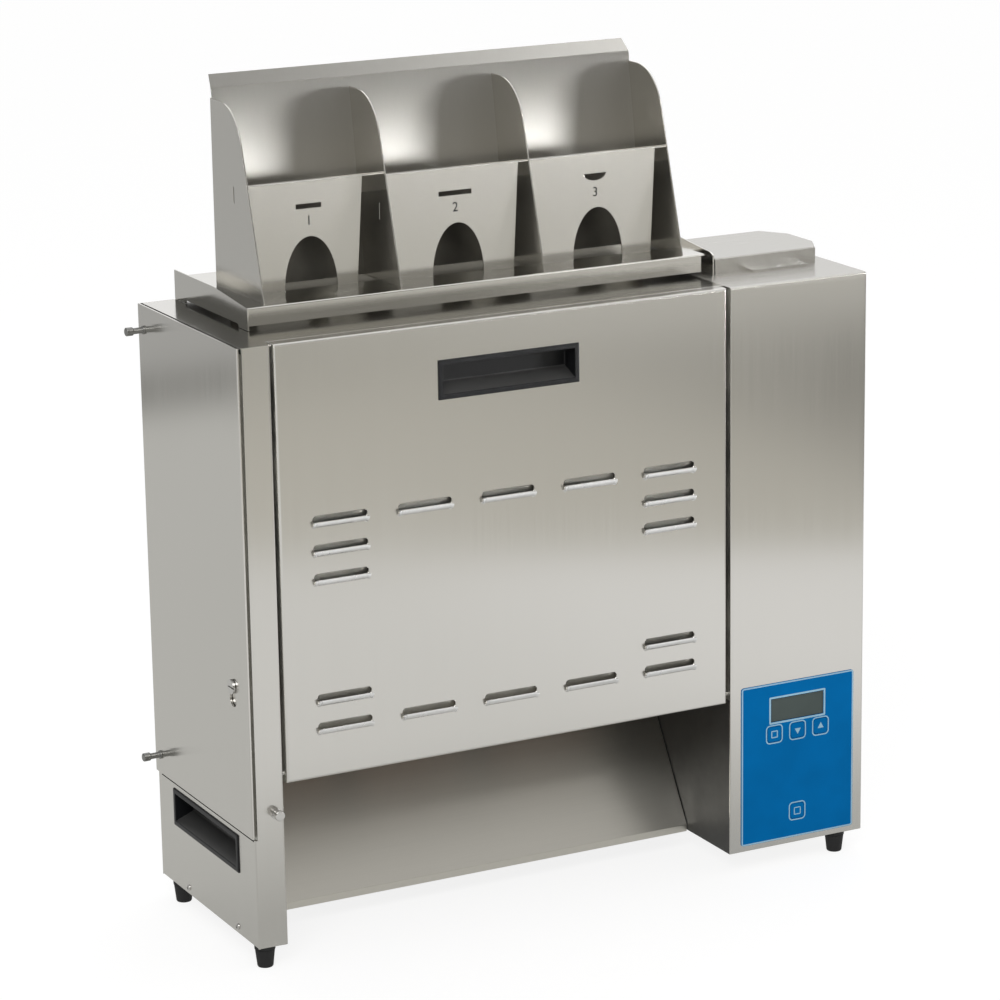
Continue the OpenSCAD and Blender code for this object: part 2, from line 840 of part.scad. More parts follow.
module shaft_bushes() {
  bore = shaft_d + 2 * bush_fit;
  color("#b08d57") place() for (z = [drive_z, idler_z]) {
    difference() {
      union() {
        rod_x(post_w - sheet, post_w + 2.2, conv_y, z, bush_d);
        rod_x(post_w, post_w + 2.2, conv_y, z, 30);
      }
      rod_x(post_w - 5, post_w + 5, conv_y, z, bore);
    }
    difference() {
      union() {
        rod_x(bay_r - 2.2, bay_r + 5.5, conv_y, z, bush_d);
        rod_x(bay_r - 2.2, bay_r, conv_y, z, 30);
      }
      rod_x(bay_r - 5, bay_r + 9, conv_y, z, bore);
    }
  }
}

// ---- Drive ----

// Angle, in degrees, by which an involute has turned at radius r
function involute(r, base) =
  let (a = acos(min(1, base / r))) tan(a) * 180 / PI - a;

// Flat drawing of a spur gear with a tooth centred on its X axis
module spur_2d(teeth) {
  pitch_r = gear_module * teeth / 2;
  base = pitch_r * cos(20);
  tip = pitch_r + 0.85 * gear_module;
  root = pitch_r - 1.2 * gear_module;
  low = max(base, root);
  steps = 5;
  play = 0.12;
  half = 90 / teeth - play / 2 / pitch_r * 180 / PI + involute(pitch_r, base);
  flank = [for (k = [0:steps]) let (r = low + (tip - low) * k / steps)
    [r, half - involute(r, base)]];
  rise = [for (p = flank) [p[0], -p[1]]];
  fall = [for (k = [steps:-1:0]) flank[k]];
  tooth = concat([[root, -half]], rise, fall, [[root, half]]);
  polygon([for (t = [0:teeth - 1], p = tooth) let (a = t * 360 / teeth + p[1])
    [p[0] * cos(a), p[0] * sin(a)]]);
}

module drive_gear() {
  color("#c9a85a") place() difference() {
    union() {
      along_x(gear_x, gear_x + gear_w) translate([conv_y, drive_z]) spur_2d(gear_teeth);
      rod_x(gear_x - 1, gear_x + gear_w + 1, conv_y, drive_z, 24);
    }
    rod_x(gear_x - 2, gear_x + gear_w + 2, conv_y, drive_z, shaft_d);
  }
}

// Pinion and motor shaft in one piece
module motor_pinion() {
  pitch_turn = 360 / pinion_teeth;
  // a tooth points straight down, into a gap of the conveyor gear
  turn = 270 - pitch_turn * floor(270 / pitch_turn);
  color("silver") place() {
    along_x(gear_x, gear_x + gear_w) translate([conv_y, motor_z]) rotate(turn)
      spur_2d(pinion_teeth);
    rod_x(gear_x, bracket_x - 2, conv_y, motor_z, 18);
    rod_x(gear_x - 1, bracket_x + bracket_t + motor_shaft_in, conv_y, motor_z, motor_shaft_d);
  }
}

module gearmotor() {
  box_x = bracket_x + bracket_t;
  color("#5d6166") place() {
    difference() {
      box([box_x, 26, motor_z - 22], [box_x + 26, 82, motor_z + 34]);
      rod_x(
        box_x - 1, box_x + motor_shaft_in + 1, conv_y, motor_z,
        motor_shaft_d + 2 * bush_fit
      );
    }
    rod_x(box_x + 26 - eps, box_x + 78, conv_y, motor_z + 6, 50);
    rod_x(box_x + 78 - eps, box_x + 82, conv_y, motor_z + 6, 16);
  }
}

module motor_bracket() {
  color("lightgray") place() {
    difference() {
      box([bracket_x, 20, motor_z - 22], [bracket_x + bracket_t, 88, motor_z + 40]);
      rod_x(bracket_x - 1, bracket_x + 4, conv_y, motor_z, 14);
    }
    for (y = [25, 83], z = [motor_z - 16, motor_z + 34])
      rod_x(bay_r + sheet, bracket_x, y, z, 8);
  }
}

// ---- Heated plate ----

// Cast plate, with a slope at its top that leads the bread into the gap
module platen() {
  mid = platen_y + platen_t / 2;
  color("#a8a9ab") place() difference() {
    along_x(platen_x[0], platen_x[1]) polygon([
      [platen_y, platen_z[0] + 8], [platen_y + 6, platen_z[0]],
      [platen_y + platen_t, platen_z[0]], [platen_y + platen_t, platen_z[1]],
      [platen_y + platen_lead[0], platen_z[1]], [platen_y, platen_z[1] - platen_lead[1]]
    ]);
    for (z = heater_z) rod_x(platen_x[0] - 1, platen_x[1] + 1, mid, z, heater_d);
    rod_x(platen_x[1] - 60, platen_x[1] + 1, mid, probe_z, 4);
  }
}

module heating_rods() {
  color("#7d7468") place() for (z = heater_z) {
    rod_x(platen_x[0] - 6, bay_r + 14, platen_y + platen_t / 2, z, heater_d);
    rod_x(bay_r + 14 - eps, bay_r + 26, platen_y + platen_t / 2, z, 4);
  }
}

module thermocouple() {
  color("silver") place() {
    rod_x(platen_x[1] - 58, bay_r + 16, platen_y + platen_t / 2, probe_z, 4);
    rod_x(bay_r + sheet, bay_r + 12, platen_y + platen_t / 2, probe_z, 9);
  }
}

// Slip sheet over the heated face, turned over the plate's top edge
module release_sheet() {
  t = 0.4;
  top = platen_z[1];
  bend_z = top - platen_lead[1];
  bend_y = platen_y + platen_lead[0];
  color("#7a5a3c") place() along_x(platen_x[0] + 2, platen_x[1] - 2) polygon([
    [platen_y - t, 158], [platen_y, 158], [platen_y, bend_z],
    [bend_y, top], [platen_y + platen_t, top], [platen_y + platen_t, top + t],
    [bend_y - t / 2, top + t], [platen_y - t, bend_z + t / 3]
  ]);
}

module insulation() {
  y0 = platen_y + platen_t;
  color("#e8e2d2") place() difference() {
    box([platen_x[0] + 2, y0, 165], [platen_x[1] - 2, y0 + insulation_t, 470]);
    for (x = post_x, z = post_z) rod_y(y0 - 1, y0 + insulation_t + 1, x, z, 10);
  }
}

// Sheet behind the insulation, held on the posts
module heat_shield() {
  y0 = platen_y + platen_t + insulation_t;
  color("lightgray") place() difference() {
    box([platen_x[0] - 8, y0, 116], [platen_x[1] + 4, y0 + thin, 478]);
    for (x = post_x, z = post_z) rod_y(y0 - 1, y0 + 3, x, z, 10);
  }
}

// Posts that carry the heated plate from the rear panel
module plate_posts() {
  color("silver") place() for (x = post_x, z = post_z) {
    rod_y(platen_y + platen_t, inner_d, x, z, 10);
    rod_y(inner_d - eps, cab_d, x, z, 6);
  }
}

// ---- Controls ----

module key_hole(k, y0, y1) {
  s = key_s / 2 + key_fit;
  along_y(y0, y1) round_rect(k[0] - s, k[1] - s, k[0] + s, k[1] + s, 3);
}

module control_overlay() {
  color("#0b62a4") place() difference() {
    along_y(-overlay_t, 0) round_rect(overlay[0], overlay[1], overlay[2], overlay[3], 2.5);
    along_y(-2, 1) translate([display_box[0], display_box[1]])
      square([display_box[2] - display_box[0], display_box[3] - display_box[1]]);
    for (k = key_places) key_hole(k, -2, 1);
  }
}

module display() {
  color("#5a645f") place() {
    box(
      [display_box[0] + 0.4, -0.3, display_box[1] + 0.4],
      [display_box[2] - 0.4, board_y, display_box[3] - 0.4]
    );
  }
}

module control_board() {
  color("#2e6b45") place() {
    box([454, board_y, 12], [556, board_y + 1.6, 141]);
    for (k = key_places) {
      box([k[0] - 3, board_y - 3, k[1] - 3], [k[0] + 3, board_y + eps, k[1] + 3]);
      rod_y(3.7, board_y - 3 + eps, k[0], k[1], 3.4);
    }
    for (x = [458, 551], z = [15, 138]) rod_y(sheet, board_y + eps, x, z, 6);
    box([470, board_y + 1.6 - eps, 50], [500, board_y + 12, 80]);
    box([515, board_y + 1.6 - eps, 50], [545, board_y + 18, 70]);
  }
}

// A key cap that fills its hole, with a flange behind the housing's sheet
module key(i) {
  k = key_places[i];
  s = key_s / 2;
  rim = s + 1.5;
  color("#0b62a4") place() {
    along_y(-overlay_t - 0.3, 2.4) round_rect(k[0] - s, k[1] - s, k[0] + s, k[1] + s, 2.6);
    box([k[0] - rim, 1.8, k[1] - rim], [k[0] + rim, 2.8, k[1] + rim]);
  }
}

module key_menu() {
  key(0);
}

module key_down() {
  key(1);
}

module key_up() {
  key(2);
}

module key_power() {
  key(3);
}

// ---- Fan and electrics ----

// Square frame with a motor cup on four arms, and the spindle of the rotor
module fan_frame() {
  half = fan_s / 2;
  color("#2a2b2e") place() {
    difference() {
      box([fan_x - half, fan_y, fan_z - half], [fan_x + half, inner_d, fan_z + half]);
      rod_y(fan_y - 1, inner_d + 1, fan_x, fan_z, fan_bore);
      for (x = [-1, 1], z = [-1, 1])
        rod_y(fan_y - 1, inner_d + 1, fan_x + x * 35.5, fan_z + z * 35.5, 4);
    }
    rod_y(inner_d - 4, inner_d, fan_x, fan_z, hub_d + 2);
    rod_y(fan_y + 4, inner_d - 4 + eps, fan_x, fan_z, spindle_d);
    for (a = [45:90:315]) translate([fan_x, 0, fan_z]) rotate([0, a, 0])
      box([hub_d / 2, inner_d - 3, -2], [fan_bore / 2 + 1.5, inner_d, 2]);
  }
}

module fan_rotor() {
  color("#232427") place() difference() {
    union() {
      rod_y(fan_y + 3, inner_d - 4.5, fan_x, fan_z, hub_d);
      intersection() {
        for (k = [0:6]) translate([fan_x, fan_y + 11, fan_z]) rotate([0, k * 360 / 7, 0])
          rotate([42, 0, 0]) box([hub_d / 2 - 2, -9, -0.8], [fan_bore / 2, 9, 0.8]);
        rod_y(fan_y + 2, inner_d - 5, fan_x, fan_z, fan_bore - 2.4);
      }
    }
    rod_y(fan_y, inner_d, fan_x, fan_z, spindle_d + 2 * bush_fit);
  }
}

// Rings on two crossed bars, over the fan's opening at the back
module fan_guard() {
  wire = 2;
  color("silver") place() {
    for (r = [12, 22, 32, 41]) difference() {
      rod_y(cab_d, cab_d + wire, fan_x, fan_z, 2 * r + wire);
      rod_y(cab_d - 1, cab_d + wire + 1, fan_x, fan_z, 2 * r - wire);
    }
    box([fan_x - 45, cab_d, fan_z - 1], [fan_x + 45, cab_d + wire, fan_z + 1]);
    box([fan_x - 1, cab_d, fan_z - 45], [fan_x + 1, cab_d + wire, fan_z + 45]);
  }
}

module power_inlet() {
  color("#1e1e20") place() {
    difference() {
      union() {
        along_y(cab_d, cab_d + inlet_t)
          round_rect(inlet_x - 24, inlet_z - 12, inlet_x + 24, inlet_z + 12, 3);
        box([inlet_x - 14, 180, inlet_z - 10], [inlet_x + 14, cab_d + eps, inlet_z + 10]);
      }
      along_y(184, cab_d + inlet_t + 1)
        round_rect(inlet_x - 11.5, inlet_z - 7.5, inlet_x + 11.5, inlet_z + 7.5, 2);
    }
    for (x = [-7, 0, 7])
      box([inlet_x + x - 1, 184 - eps, inlet_z - 2], [inlet_x + x + 1, 197, inlet_z + 2]);
  }
}

module transformer() {
  color("#8d9196") place() {
    difference() {
      union() {
        box([452, 96, sheet], [520, 152, sheet + 2]);
        box([458, 104, sheet], [514, 144, 48]);
      }
      for (x = [455, 517], y = [100, 148]) translate([x, y, 0]) cylinder(h = 6, d = 3.4);
    }
    box([468, 98, 12], [504, 150, 40]);
  }
}

module terminal_block() {
  x = bay_r + sheet;
  color("#d9d4c4") place() {
    box([x, 150, 70], [x + 8, 176, 142]);
    for (k = [0:6]) box([x, 150, 70 + k * 11.7], [x + 18, 176, 71.8 + k * 11.7]);
    for (k = [0:5], y = [157, 169]) rod_x(x + 8 - eps, x + 11, y, 76.7 + k * 11.7, 6);
  }
}

module relays() {
  x = bay_r + sheet;
  color("#2f3b52") place() for (z = [270, 314]) {
    box([x, 150, z - 16], [x + 4, 190, z + 16]);
    box([x + 4 - eps, 154, z - 13], [x + 32, 186, z + 13]);
  }
}

left_frame();
side_cover();
cover_pins();
cover_screw();
side_pull();
front_panel();
front_pull();
panel_pins();
panel_catches();
post_stud();
top_deck();
rear_panel();
inner_plate();
base_channel();
housing_wall();
housing_shell();
housing_back();
housing_floor();
vent_hood();
feet();
foot_screws();
cabinet_screws();
ramp();
ramp_ledges();
feeder_tray();
dividers();
lane_plates();
back_plate();
drive_shaft();
drive_rollers();
drive_gear();
idler_shaft();
idler_rollers();
belts();
belt_support();
shaft_bushes();
motor_pinion();
gearmotor();
motor_bracket();
platen();
heating_rods();
thermocouple();
release_sheet();
insulation();
heat_shield();
plate_posts();
control_overlay();
display();
control_board();
key_menu();
key_down();
key_up();
key_power();
fan_frame();
fan_rotor();
fan_guard();
power_inlet();
transformer();
terminal_block();
relays();
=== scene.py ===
import math

import bpy
from mathutils import Matrix, Vector


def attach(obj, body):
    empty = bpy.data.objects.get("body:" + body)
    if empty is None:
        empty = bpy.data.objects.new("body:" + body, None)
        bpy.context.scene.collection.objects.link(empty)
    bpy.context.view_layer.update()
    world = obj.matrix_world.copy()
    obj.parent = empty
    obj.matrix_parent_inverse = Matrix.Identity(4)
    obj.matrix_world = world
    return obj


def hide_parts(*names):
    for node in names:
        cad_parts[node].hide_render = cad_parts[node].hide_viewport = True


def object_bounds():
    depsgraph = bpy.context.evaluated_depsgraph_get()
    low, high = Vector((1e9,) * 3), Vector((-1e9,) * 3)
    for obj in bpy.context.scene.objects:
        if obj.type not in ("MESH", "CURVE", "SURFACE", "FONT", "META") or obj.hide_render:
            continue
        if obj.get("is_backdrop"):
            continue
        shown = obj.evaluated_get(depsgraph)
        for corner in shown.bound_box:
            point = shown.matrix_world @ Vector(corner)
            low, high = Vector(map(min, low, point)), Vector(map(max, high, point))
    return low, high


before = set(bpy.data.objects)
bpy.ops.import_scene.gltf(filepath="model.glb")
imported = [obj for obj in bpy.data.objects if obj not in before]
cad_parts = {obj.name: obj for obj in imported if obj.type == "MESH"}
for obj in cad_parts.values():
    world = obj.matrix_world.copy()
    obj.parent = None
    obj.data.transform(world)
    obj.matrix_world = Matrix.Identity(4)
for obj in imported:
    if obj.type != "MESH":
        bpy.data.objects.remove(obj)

cad_low, cad_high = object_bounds()
MM = 0.001
# The cabinet's front left bottom corner. Places below are millimetres from it:
# x to the right, y to the back and z up.
CORNER = Vector((-0.277, -0.09675, 0.018))
WIDE, DEEP, TALL = 570, 199.5, 490
# The left frame's outer face, behind the side cover, and the right edge of the front post.
FRAME_FACE, POST_EDGE = 2, 27.8
PANEL_LEFT, PANEL_RIGHT, PANEL_FOOT = 30.8, 434.9, 134.7
HOUSING_LEFT = 438.4
# Vertices nearer to each other than this, in metres, are one.
MERGE = 0.00001


def spot(x, y, z):
    return CORNER + Vector((x, y, z)) * MM


def from_corner(point):
    return (point - CORNER) / MM


# ---- Workbench ----


def hold(piece):
    """Selects this piece alone."""
    bpy.ops.object.select_all(action="DESELECT")
    piece.select_set(True)
    bpy.context.view_layer.objects.active = piece


def choose(piece, kind, test):
    """Marks vertices, edges or faces for the next edit, by their place in millimetres."""
    mesh = piece.data
    for part in (mesh.vertices, mesh.edges, mesh.polygons):
        part.foreach_set("select", [False] * len(part))
    place = [from_corner(v.co) for v in mesh.vertices]
    if kind == "VERT":
        for v, p in zip(mesh.vertices, place):
            v.select = bool(test(p))
    elif kind == "EDGE":
        for e in mesh.edges:
            e.select = bool(test(place[e.vertices[0]], place[e.vertices[1]]))
    else:
        for f in mesh.polygons:
            f.select = bool(test(from_corner(f.center), f.normal))
    bpy.context.tool_settings.mesh_select_mode = (
        kind == "VERT",
        kind == "EDGE",
        kind == "FACE",
    )


def edit(piece, tool, kind=None, test=None, **how):
    """Runs one edit-mode tool on the chosen part. With no kind it uses what is marked already."""
    hold(piece)
    if kind:
        choose(piece, kind, test)
    bpy.ops.object.mode_set(mode="EDIT")
    tool(**how)
    bpy.ops.object.mode_set(mode="OBJECT")


def edit_all(piece, tool, **how):
    hold(piece)
    bpy.ops.object.mode_set(mode="EDIT")
    bpy.ops.mesh.select_all(action="SELECT")
    tool(**how)
    bpy.ops.object.mode_set(mode="OBJECT")


def move(piece, x=0, y=0, z=0, kind=None, test=None):
    edit(piece, bpy.ops.transform.translate, kind, test, value=(x * MM, y * MM, z * MM))


def extrude(piece, x=0, y=0, z=0):
    """Pulls out what is marked already."""
    edit(
        piece,
        bpy.ops.mesh.extrude_region_move,
        TRANSFORM_OT_translate={"value": (x * MM, y * MM, z * MM)},
    )


def inset(piece, width, kind=None, test=None):
    edit(piece, bpy.ops.mesh.inset, kind, test, thickness=width * MM, use_even_offset=True)


def grow(piece, factors, centre, kind=None, test=None):
    edit(
        piece,
        bpy.ops.transform.resize,
        kind,
        test,
        value=factors,
        center_override=spot(*centre),
    )


def fold(piece, radius, test, steps=4):
    """Rounds the chosen edges, as a press brake does."""
    edit(
        piece,
        bpy.ops.mesh.bevel,
        "EDGE",
        test,
        offset=radius * MM,
        segments=steps,
        affect="EDGES",
    )


def line(x=None, y=None, z=None, slack=0.06):
    """A test for edges that lie on the given coordinates."""

    def test(a, b):
        for axis, value in enumerate((x, y, z)):
            if value is not None and (
                abs(a[axis] - value) > slack or abs(b[axis] - value) > slack
            ):
                return False
        return True

    return test


def split(piece, x=None, y=None, z=None):
    """Draws a line all round the piece at each given coordinate."""
    for axis, value in enumerate((x, y, z)):
        if value is None:
            continue
        place, across = [0, 0, 0], [0, 0, 0]
        place[axis], across[axis] = value, 1
        edit_all(piece, bpy.ops.mesh.bisect, plane_co=spot(*place), plane_no=across)


def either(*tests):
    return lambda *place: any(t(*place) for t in tests)


def modify(piece, kind, **settings):
    hold(piece)
    m = piece.modifiers.new("work", kind)
    for name, value in settings.items():
        setattr(m, name, value)
    bpy.ops.object.modifier_apply(modifier=m.name)


def outward(piece):
    edit_all(piece, bpy.ops.mesh.remove_doubles, threshold=MERGE)
    edit_all(piece, bpy.ops.mesh.normals_make_consistent, inside=False)


def soften(piece, width=0.3, steps=2, angle=35):
    """Breaks the sharp edges and shades the flats flat."""
    modify(
        piece,
        "BEVEL",
        width=width * MM,
        segments=steps,
        limit_method="ANGLE",
        angle_limit=math.radians(angle),
        use_clamp_overlap=True,
    )
    shade(piece)


def shade(piece, angle=40):
    hold(piece)
    bpy.ops.object.shade_smooth_by_angle(angle=math.radians(angle))
    modify(piece, "WEIGHTED_NORMAL", keep_sharp=True, weight=50)


def settle(piece):
    hold(piece)
    bpy.ops.object.transform_apply(location=True, rotation=True, scale=True)
    return piece


def block(name, low, high):
    """A cube added at its size and place."""
    a, b = spot(*low), spot(*high)
    bpy.ops.object.select_all(action="DESELECT")
    bpy.ops.mesh.primitive_cube_add(size=1, location=(a + b) / 2, scale=b - a)
    bpy.context.object.name = name
    return settle(bpy.context.object)


TURN = {
    "x": (0, math.pi / 2, 0),
    "y": (math.pi / 2, 0, 0),
    "z": (0, 0, 0),
}


def round_bar(name, centre, axis, length, diameter, sides=40):
    """A cylinder added at its size and place."""
    bpy.ops.object.select_all(action="DESELECT")
    bpy.ops.mesh.primitive_cylinder_add(
        vertices=sides,
        radius=diameter / 2 * MM,
        depth=length * MM,
        location=spot(*centre),
        rotation=TURN[axis],
    )
    bpy.context.object.name = name
    return settle(bpy.context.object)


def copy_of(piece, name, shift=(0, 0, 0)):
    twin = piece.copy()
    twin.data = piece.data.copy()
    twin.name = name
    bpy.context.scene.collection.objects.link(twin)
    twin.data.transform(Matrix.Translation(Vector(shift) * MM))
    return twin


def join(main, others):
    bpy.ops.object.select_all(action="DESELECT")
    for o in others:
        o.select_set(True)
    main.select_set(True)
    bpy.context.view_layer.objects.active = main
    bpy.ops.object.join()
    return main


def cut(piece, *cutters):
    """Takes the cutters out of the piece."""
    cutter = join(cutters[0], cutters[1:]) if len(cutters) > 1 else cutters[0]
    modify(piece, "BOOLEAN", operation="DIFFERENCE", object=cutter, solver="EXACT")
    bpy.data.objects.remove(cutter)


def blank(node, name):
    """The node's own sheet or casting, merged, with its flats in one face each."""
    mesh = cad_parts[node].data.copy()
    piece = bpy.data.objects.new(name, mesh)
    bpy.context.scene.collection.objects.link(piece)
    mesh.materials.clear()
    hold(piece)
    bpy.ops.mesh.customdata_custom_splitnormals_clear()
    edit_all(piece, bpy.ops.mesh.remove_doubles, threshold=MERGE)
    edit_all(piece, bpy.ops.mesh.dissolve_limited, angle_limit=math.radians(0.5))
    return piece


def dress(piece, material, test):
    """Gives the chosen faces a second material."""
    mesh = piece.data
    if material.name not in mesh.materials:
        mesh.materials.append(material)
    index = mesh.materials.find(material.name)
    for f in mesh.polygons:
        if test(from_corner(f.center), f.normal):
            f.material_index = index


def finish(piece, body, slot, material, *replaced):
    if material:
        piece.data.materials.clear()
        piece.data.materials.append(material)
    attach(piece, body)
    if replaced:
        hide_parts(*replaced)
    return piece


# ---- Finishes ----

# Sockets of a mix node that mixes colours. Its sockets for numbers have the same names.
MIX_A, MIX_B, MIX_OUT = 6, 7, 2


class Finish:
    """A material and the nodes that it is built from."""

    def __init__(self, name, colour, metallic, roughness, **sockets):
        self.material = bpy.data.materials.new(name)
        self.material.use_nodes = True
        self.tree = self.material.node_tree
        self.shader = self.tree.nodes["Principled BSDF"]
        self.shader.inputs["Base Color"].default_value = (*colour, 1)
        self.shader.inputs["Metallic"].default_value = metallic
        self.shader.inputs["Roughness"].default_value = roughness
        for socket, value in sockets.items():
            self.shader.inputs[socket.replace("_", " ")].default_value = value
        self.place = self.node("ShaderNodeTexCoord").outputs["Object"]

    def node(self, kind, **settings):
        n = self.tree.nodes.new(kind)
        for name, value in settings.items():
            setattr(n, name, value)
        return n

    def link(self, a, b):
        self.tree.links.new(a, b)

    def noise(self, per_metre, detail=3, roughness=0.55):
        """Noise with its own density along x, y and z."""
        mapping = self.node("ShaderNodeMapping")
        mapping.inputs["Scale"].default_value = per_metre
        texture = self.node("ShaderNodeTexNoise")
        texture.inputs["Scale"].default_value = 1
        texture.inputs["Detail"].default_value = detail
        texture.inputs["Roughness"].default_value = roughness
        self.link(self.place, mapping.inputs["Vector"])
        self.link(mapping.outputs["Vector"], texture.inputs["Vector"])
        return texture.outputs["Fac"]

    def spread(self, value, low, high, start=0.3, end=0.7):
        scale = self.node("ShaderNodeMapRange")
        self.link(value, scale.inputs["Value"])
        scale.inputs["From Min"].default_value = start
        scale.inputs["From Max"].default_value = end
        scale.inputs["To Min"].default_value = low
        scale.inputs["To Max"].default_value = high
        return scale.outputs["Result"]

    def blend(self, value, dark, light):
        mix = self.node("ShaderNodeMix", data_type="RGBA")
        self.link(value, mix.inputs["Factor"])
        for socket, colour in ((MIX_A, dark), (MIX_B, light)):
            mix.inputs[socket].default_value = (*colour, 1)
        return mix.outputs[MIX_OUT]

    def multiply(self, a, b):
        maths = self.node("ShaderNodeMath", operation="MULTIPLY")
        self.link(a, maths.inputs[0])
        self.link(b, maths.inputs[1])
        return maths.outputs[0]

    def average(self, a, b, share=0.5):
        mix = self.node("ShaderNodeMix", data_type="FLOAT")
        mix.inputs[0].default_value = share
        self.link(a, mix.inputs[2])
        self.link(b, mix.inputs[3])
        return mix.outputs[0]

    def relief(self, value, depth_mm, strength=1.0):
        bump = self.node("ShaderNodeBump")
        bump.inputs["Strength"].default_value = strength
        bump.inputs["Distance"].default_value = depth_mm * MM
        self.link(value, bump.inputs["Height"])
        self.link(bump.outputs["Normal"], self.shader.inputs["Normal"])

    def colour_by(self, value):
        self.link(value, self.shader.inputs["Base Color"])

    def roughness_by(self, value):
        self.link(value, self.shader.inputs["Roughness"])


def tint(colour, factor):
    return tuple(min(1, c * factor) for c in colour)


# For each direction of the grain: density of the fine lines and of the broad streaks, per metre,
# and the direction itself, a little off the axis so that it never lies along a normal.
GRAIN = {
    "x": ((14, 900, 900), (3, 170, 170), (1, 0.03, 0.05)),
    "z": ((900, 900, 14), (170, 170, 3), (0.05, 0.03, 1)),
}


def brushed(name, colour, grain="z", roughness=0.24, variation=0.03, depth=0.002, spread=0.85):
    """Sheet with the fine parallel lines of a brushed finish, which smear light across them."""
    f = Finish(name, colour, 1.0, roughness, Anisotropic=spread)
    fine, broad, direction = GRAIN[grain]
    across = f.node("ShaderNodeVectorMath", operation="CROSS_PRODUCT")
    f.link(f.node("ShaderNodeNewGeometry").outputs["Normal"], across.inputs[0])
    across.inputs[1].default_value = direction
    f.link(across.outputs["Vector"], f.shader.inputs["Tangent"])
    lines = f.noise(fine, 2)
    streaks = f.noise(broad, 3)
    clouds = f.noise((5, 5, 5), 2)
    both = f.average(lines, streaks, 0.45)
    tone = f.average(both, clouds, 0.25)
    f.colour_by(
        f.blend(
            f.spread(tone, 0, 1),
            tint(colour, 1 - variation),
            tint(colour, 1 + variation),
        )
    )
    f.roughness_by(
        f.spread(f.average(both, clouds, 0.5), roughness - 0.03, roughness + 0.04)
    )
    f.relief(lines, depth, 0.3)
    return f.material


def moulded(name, colour, roughness=0.5, texture=700, depth=0.02, **sockets):
    """Plastic or rubber with the fine grain of its mould."""
    f = Finish(name, colour, 0.0, roughness, **sockets)
    grain = f.noise((texture,) * 3, 4, 0.6)
    clouds = f.noise((18, 18, 18), 3)
    f.colour_by(f.blend(f.spread(clouds, 0, 1), tint(colour, 0.88), tint(colour, 1.12)))
    f.roughness_by(f.spread(grain, roughness - 0.07, roughness + 0.07))
    f.relief(grain, depth, 0.7)
    return f.material


def worked(name, colour, roughness, texture, depth):
    """Cast, turned or plated metal."""
    f = Finish(name, colour, 1.0, roughness)
    marks = f.noise(texture, 4, 0.6)
    clouds = f.noise((25, 25, 25), 3)
    f.colour_by(
        f.blend(
            f.spread(f.average(marks, clouds), 0, 1), tint(colour, 0.86), tint(colour, 1.1)
        )
    )
    f.roughness_by(f.spread(clouds, roughness - 0.08, roughness + 0.08))
    f.relief(marks, depth, 0.5)
    return f.material


def printed(name, colour, roughness=0.35, shine=0.12):
    """Ink or film of the control panel, under a faint orange-peel surface."""
    f = Finish(name, colour, 0.0, roughness, Specular_IOR_Level=shine)
    peel = f.noise((500, 500, 500), 2)
    clouds = f.noise((30, 30, 30), 2)
    f.colour_by(f.blend(f.spread(clouds, 0, 1), tint(colour, 0.94), tint(colour, 1.06)))
    f.roughness_by(f.spread(peel, roughness - 0.05, roughness + 0.05))
    f.relief(peel, 0.006, 0.5)
    return f.material


def woven(name, colour, per_metre=900, roughness=0.5):
    """Coated glass cloth: crossed threads under a slick skin."""
    f = Finish(name, colour, 0.0, roughness)
    waves = []
    for direction in ("X", "Z"):
        wave = f.node("ShaderNodeTexWave", bands_direction=direction)
        wave.inputs["Scale"].default_value = per_metre / 6.28
        f.link(f.place, wave.inputs["Vector"])
        waves.append(wave.outputs["Fac"])
    threads = f.multiply(*waves)
    f.colour_by(f.blend(threads, tint(colour, 0.8), tint(colour, 1.15)))
    f.roughness_by(f.spread(threads, roughness - 0.08, roughness + 0.1, 0, 1))
    f.relief(threads, 0.05, 0.6)
    return f.material


STEEL = (0.7, 0.685, 0.65)
PALE_STEEL = (0.72, 0.705, 0.665)
cabinet_steel = brushed("brushed_cabinet_steel", STEEL, "z", 0.18, 0.02, 0.001)
side_steel = brushed("brushed_side_steel", STEEL, "z", 0.16, 0.015, 0.0005)
# A darker copy of the cabinet steel for the tops and the hood: painted shade.
top_shade_steel = brushed("brushed_top_metal_painted_shade", tint(STEEL, 0.82), "x", 0.24, 0.01, 0.0005)
deck_steel = brushed("polished_deck_steel", STEEL, "x", 0.16, 0.02, 0.001, 0.3)
feeder_steel = brushed("brushed_feeder_steel", PALE_STEEL, "z", 0.2, 0.02, 0.001)
back_plate_steel = brushed(
    "brushed_back_plate_steel", (0.48, 0.47, 0.445), "z", 0.3, 0.02, 0.001
)
# Near-black steel for the tray's underside and the chute's front below the lane plates: painted
# shade where little light gets in.
chute_shade_steel = worked("painted_shade_chute_metal", (0.17, 0.165, 0.15), 0.4, (60, 60, 60), 0.01)
tray_steel = brushed("polished_tray_steel", PALE_STEEL, "x", 0.14, 0.02, 0.001, 0.4)
divider_steel = brushed("brushed_divider_steel", PALE_STEEL, "z", 0.2, 0.02, 0.001)
ramp_steel = brushed("brushed_ramp_steel", (0.82, 0.795, 0.73), "x", 0.36, 0.02, 0.001, 0.6)
# Near-white steel for the louvre lips and the hood's tongue: a painted highlight on them.
highlight_edge_steel = worked("painted_highlight_steel", (0.95, 0.945, 0.93), 0.24, (300, 300, 300), 0.004)
flange_steel = worked("dull_flange_steel", (0.7, 0.69, 0.65), 0.5, (60, 60, 60), 0.01)
inner_steel = worked("plain_inner_steel", (0.5, 0.49, 0.47), 0.42, (60, 60, 60), 0.01)
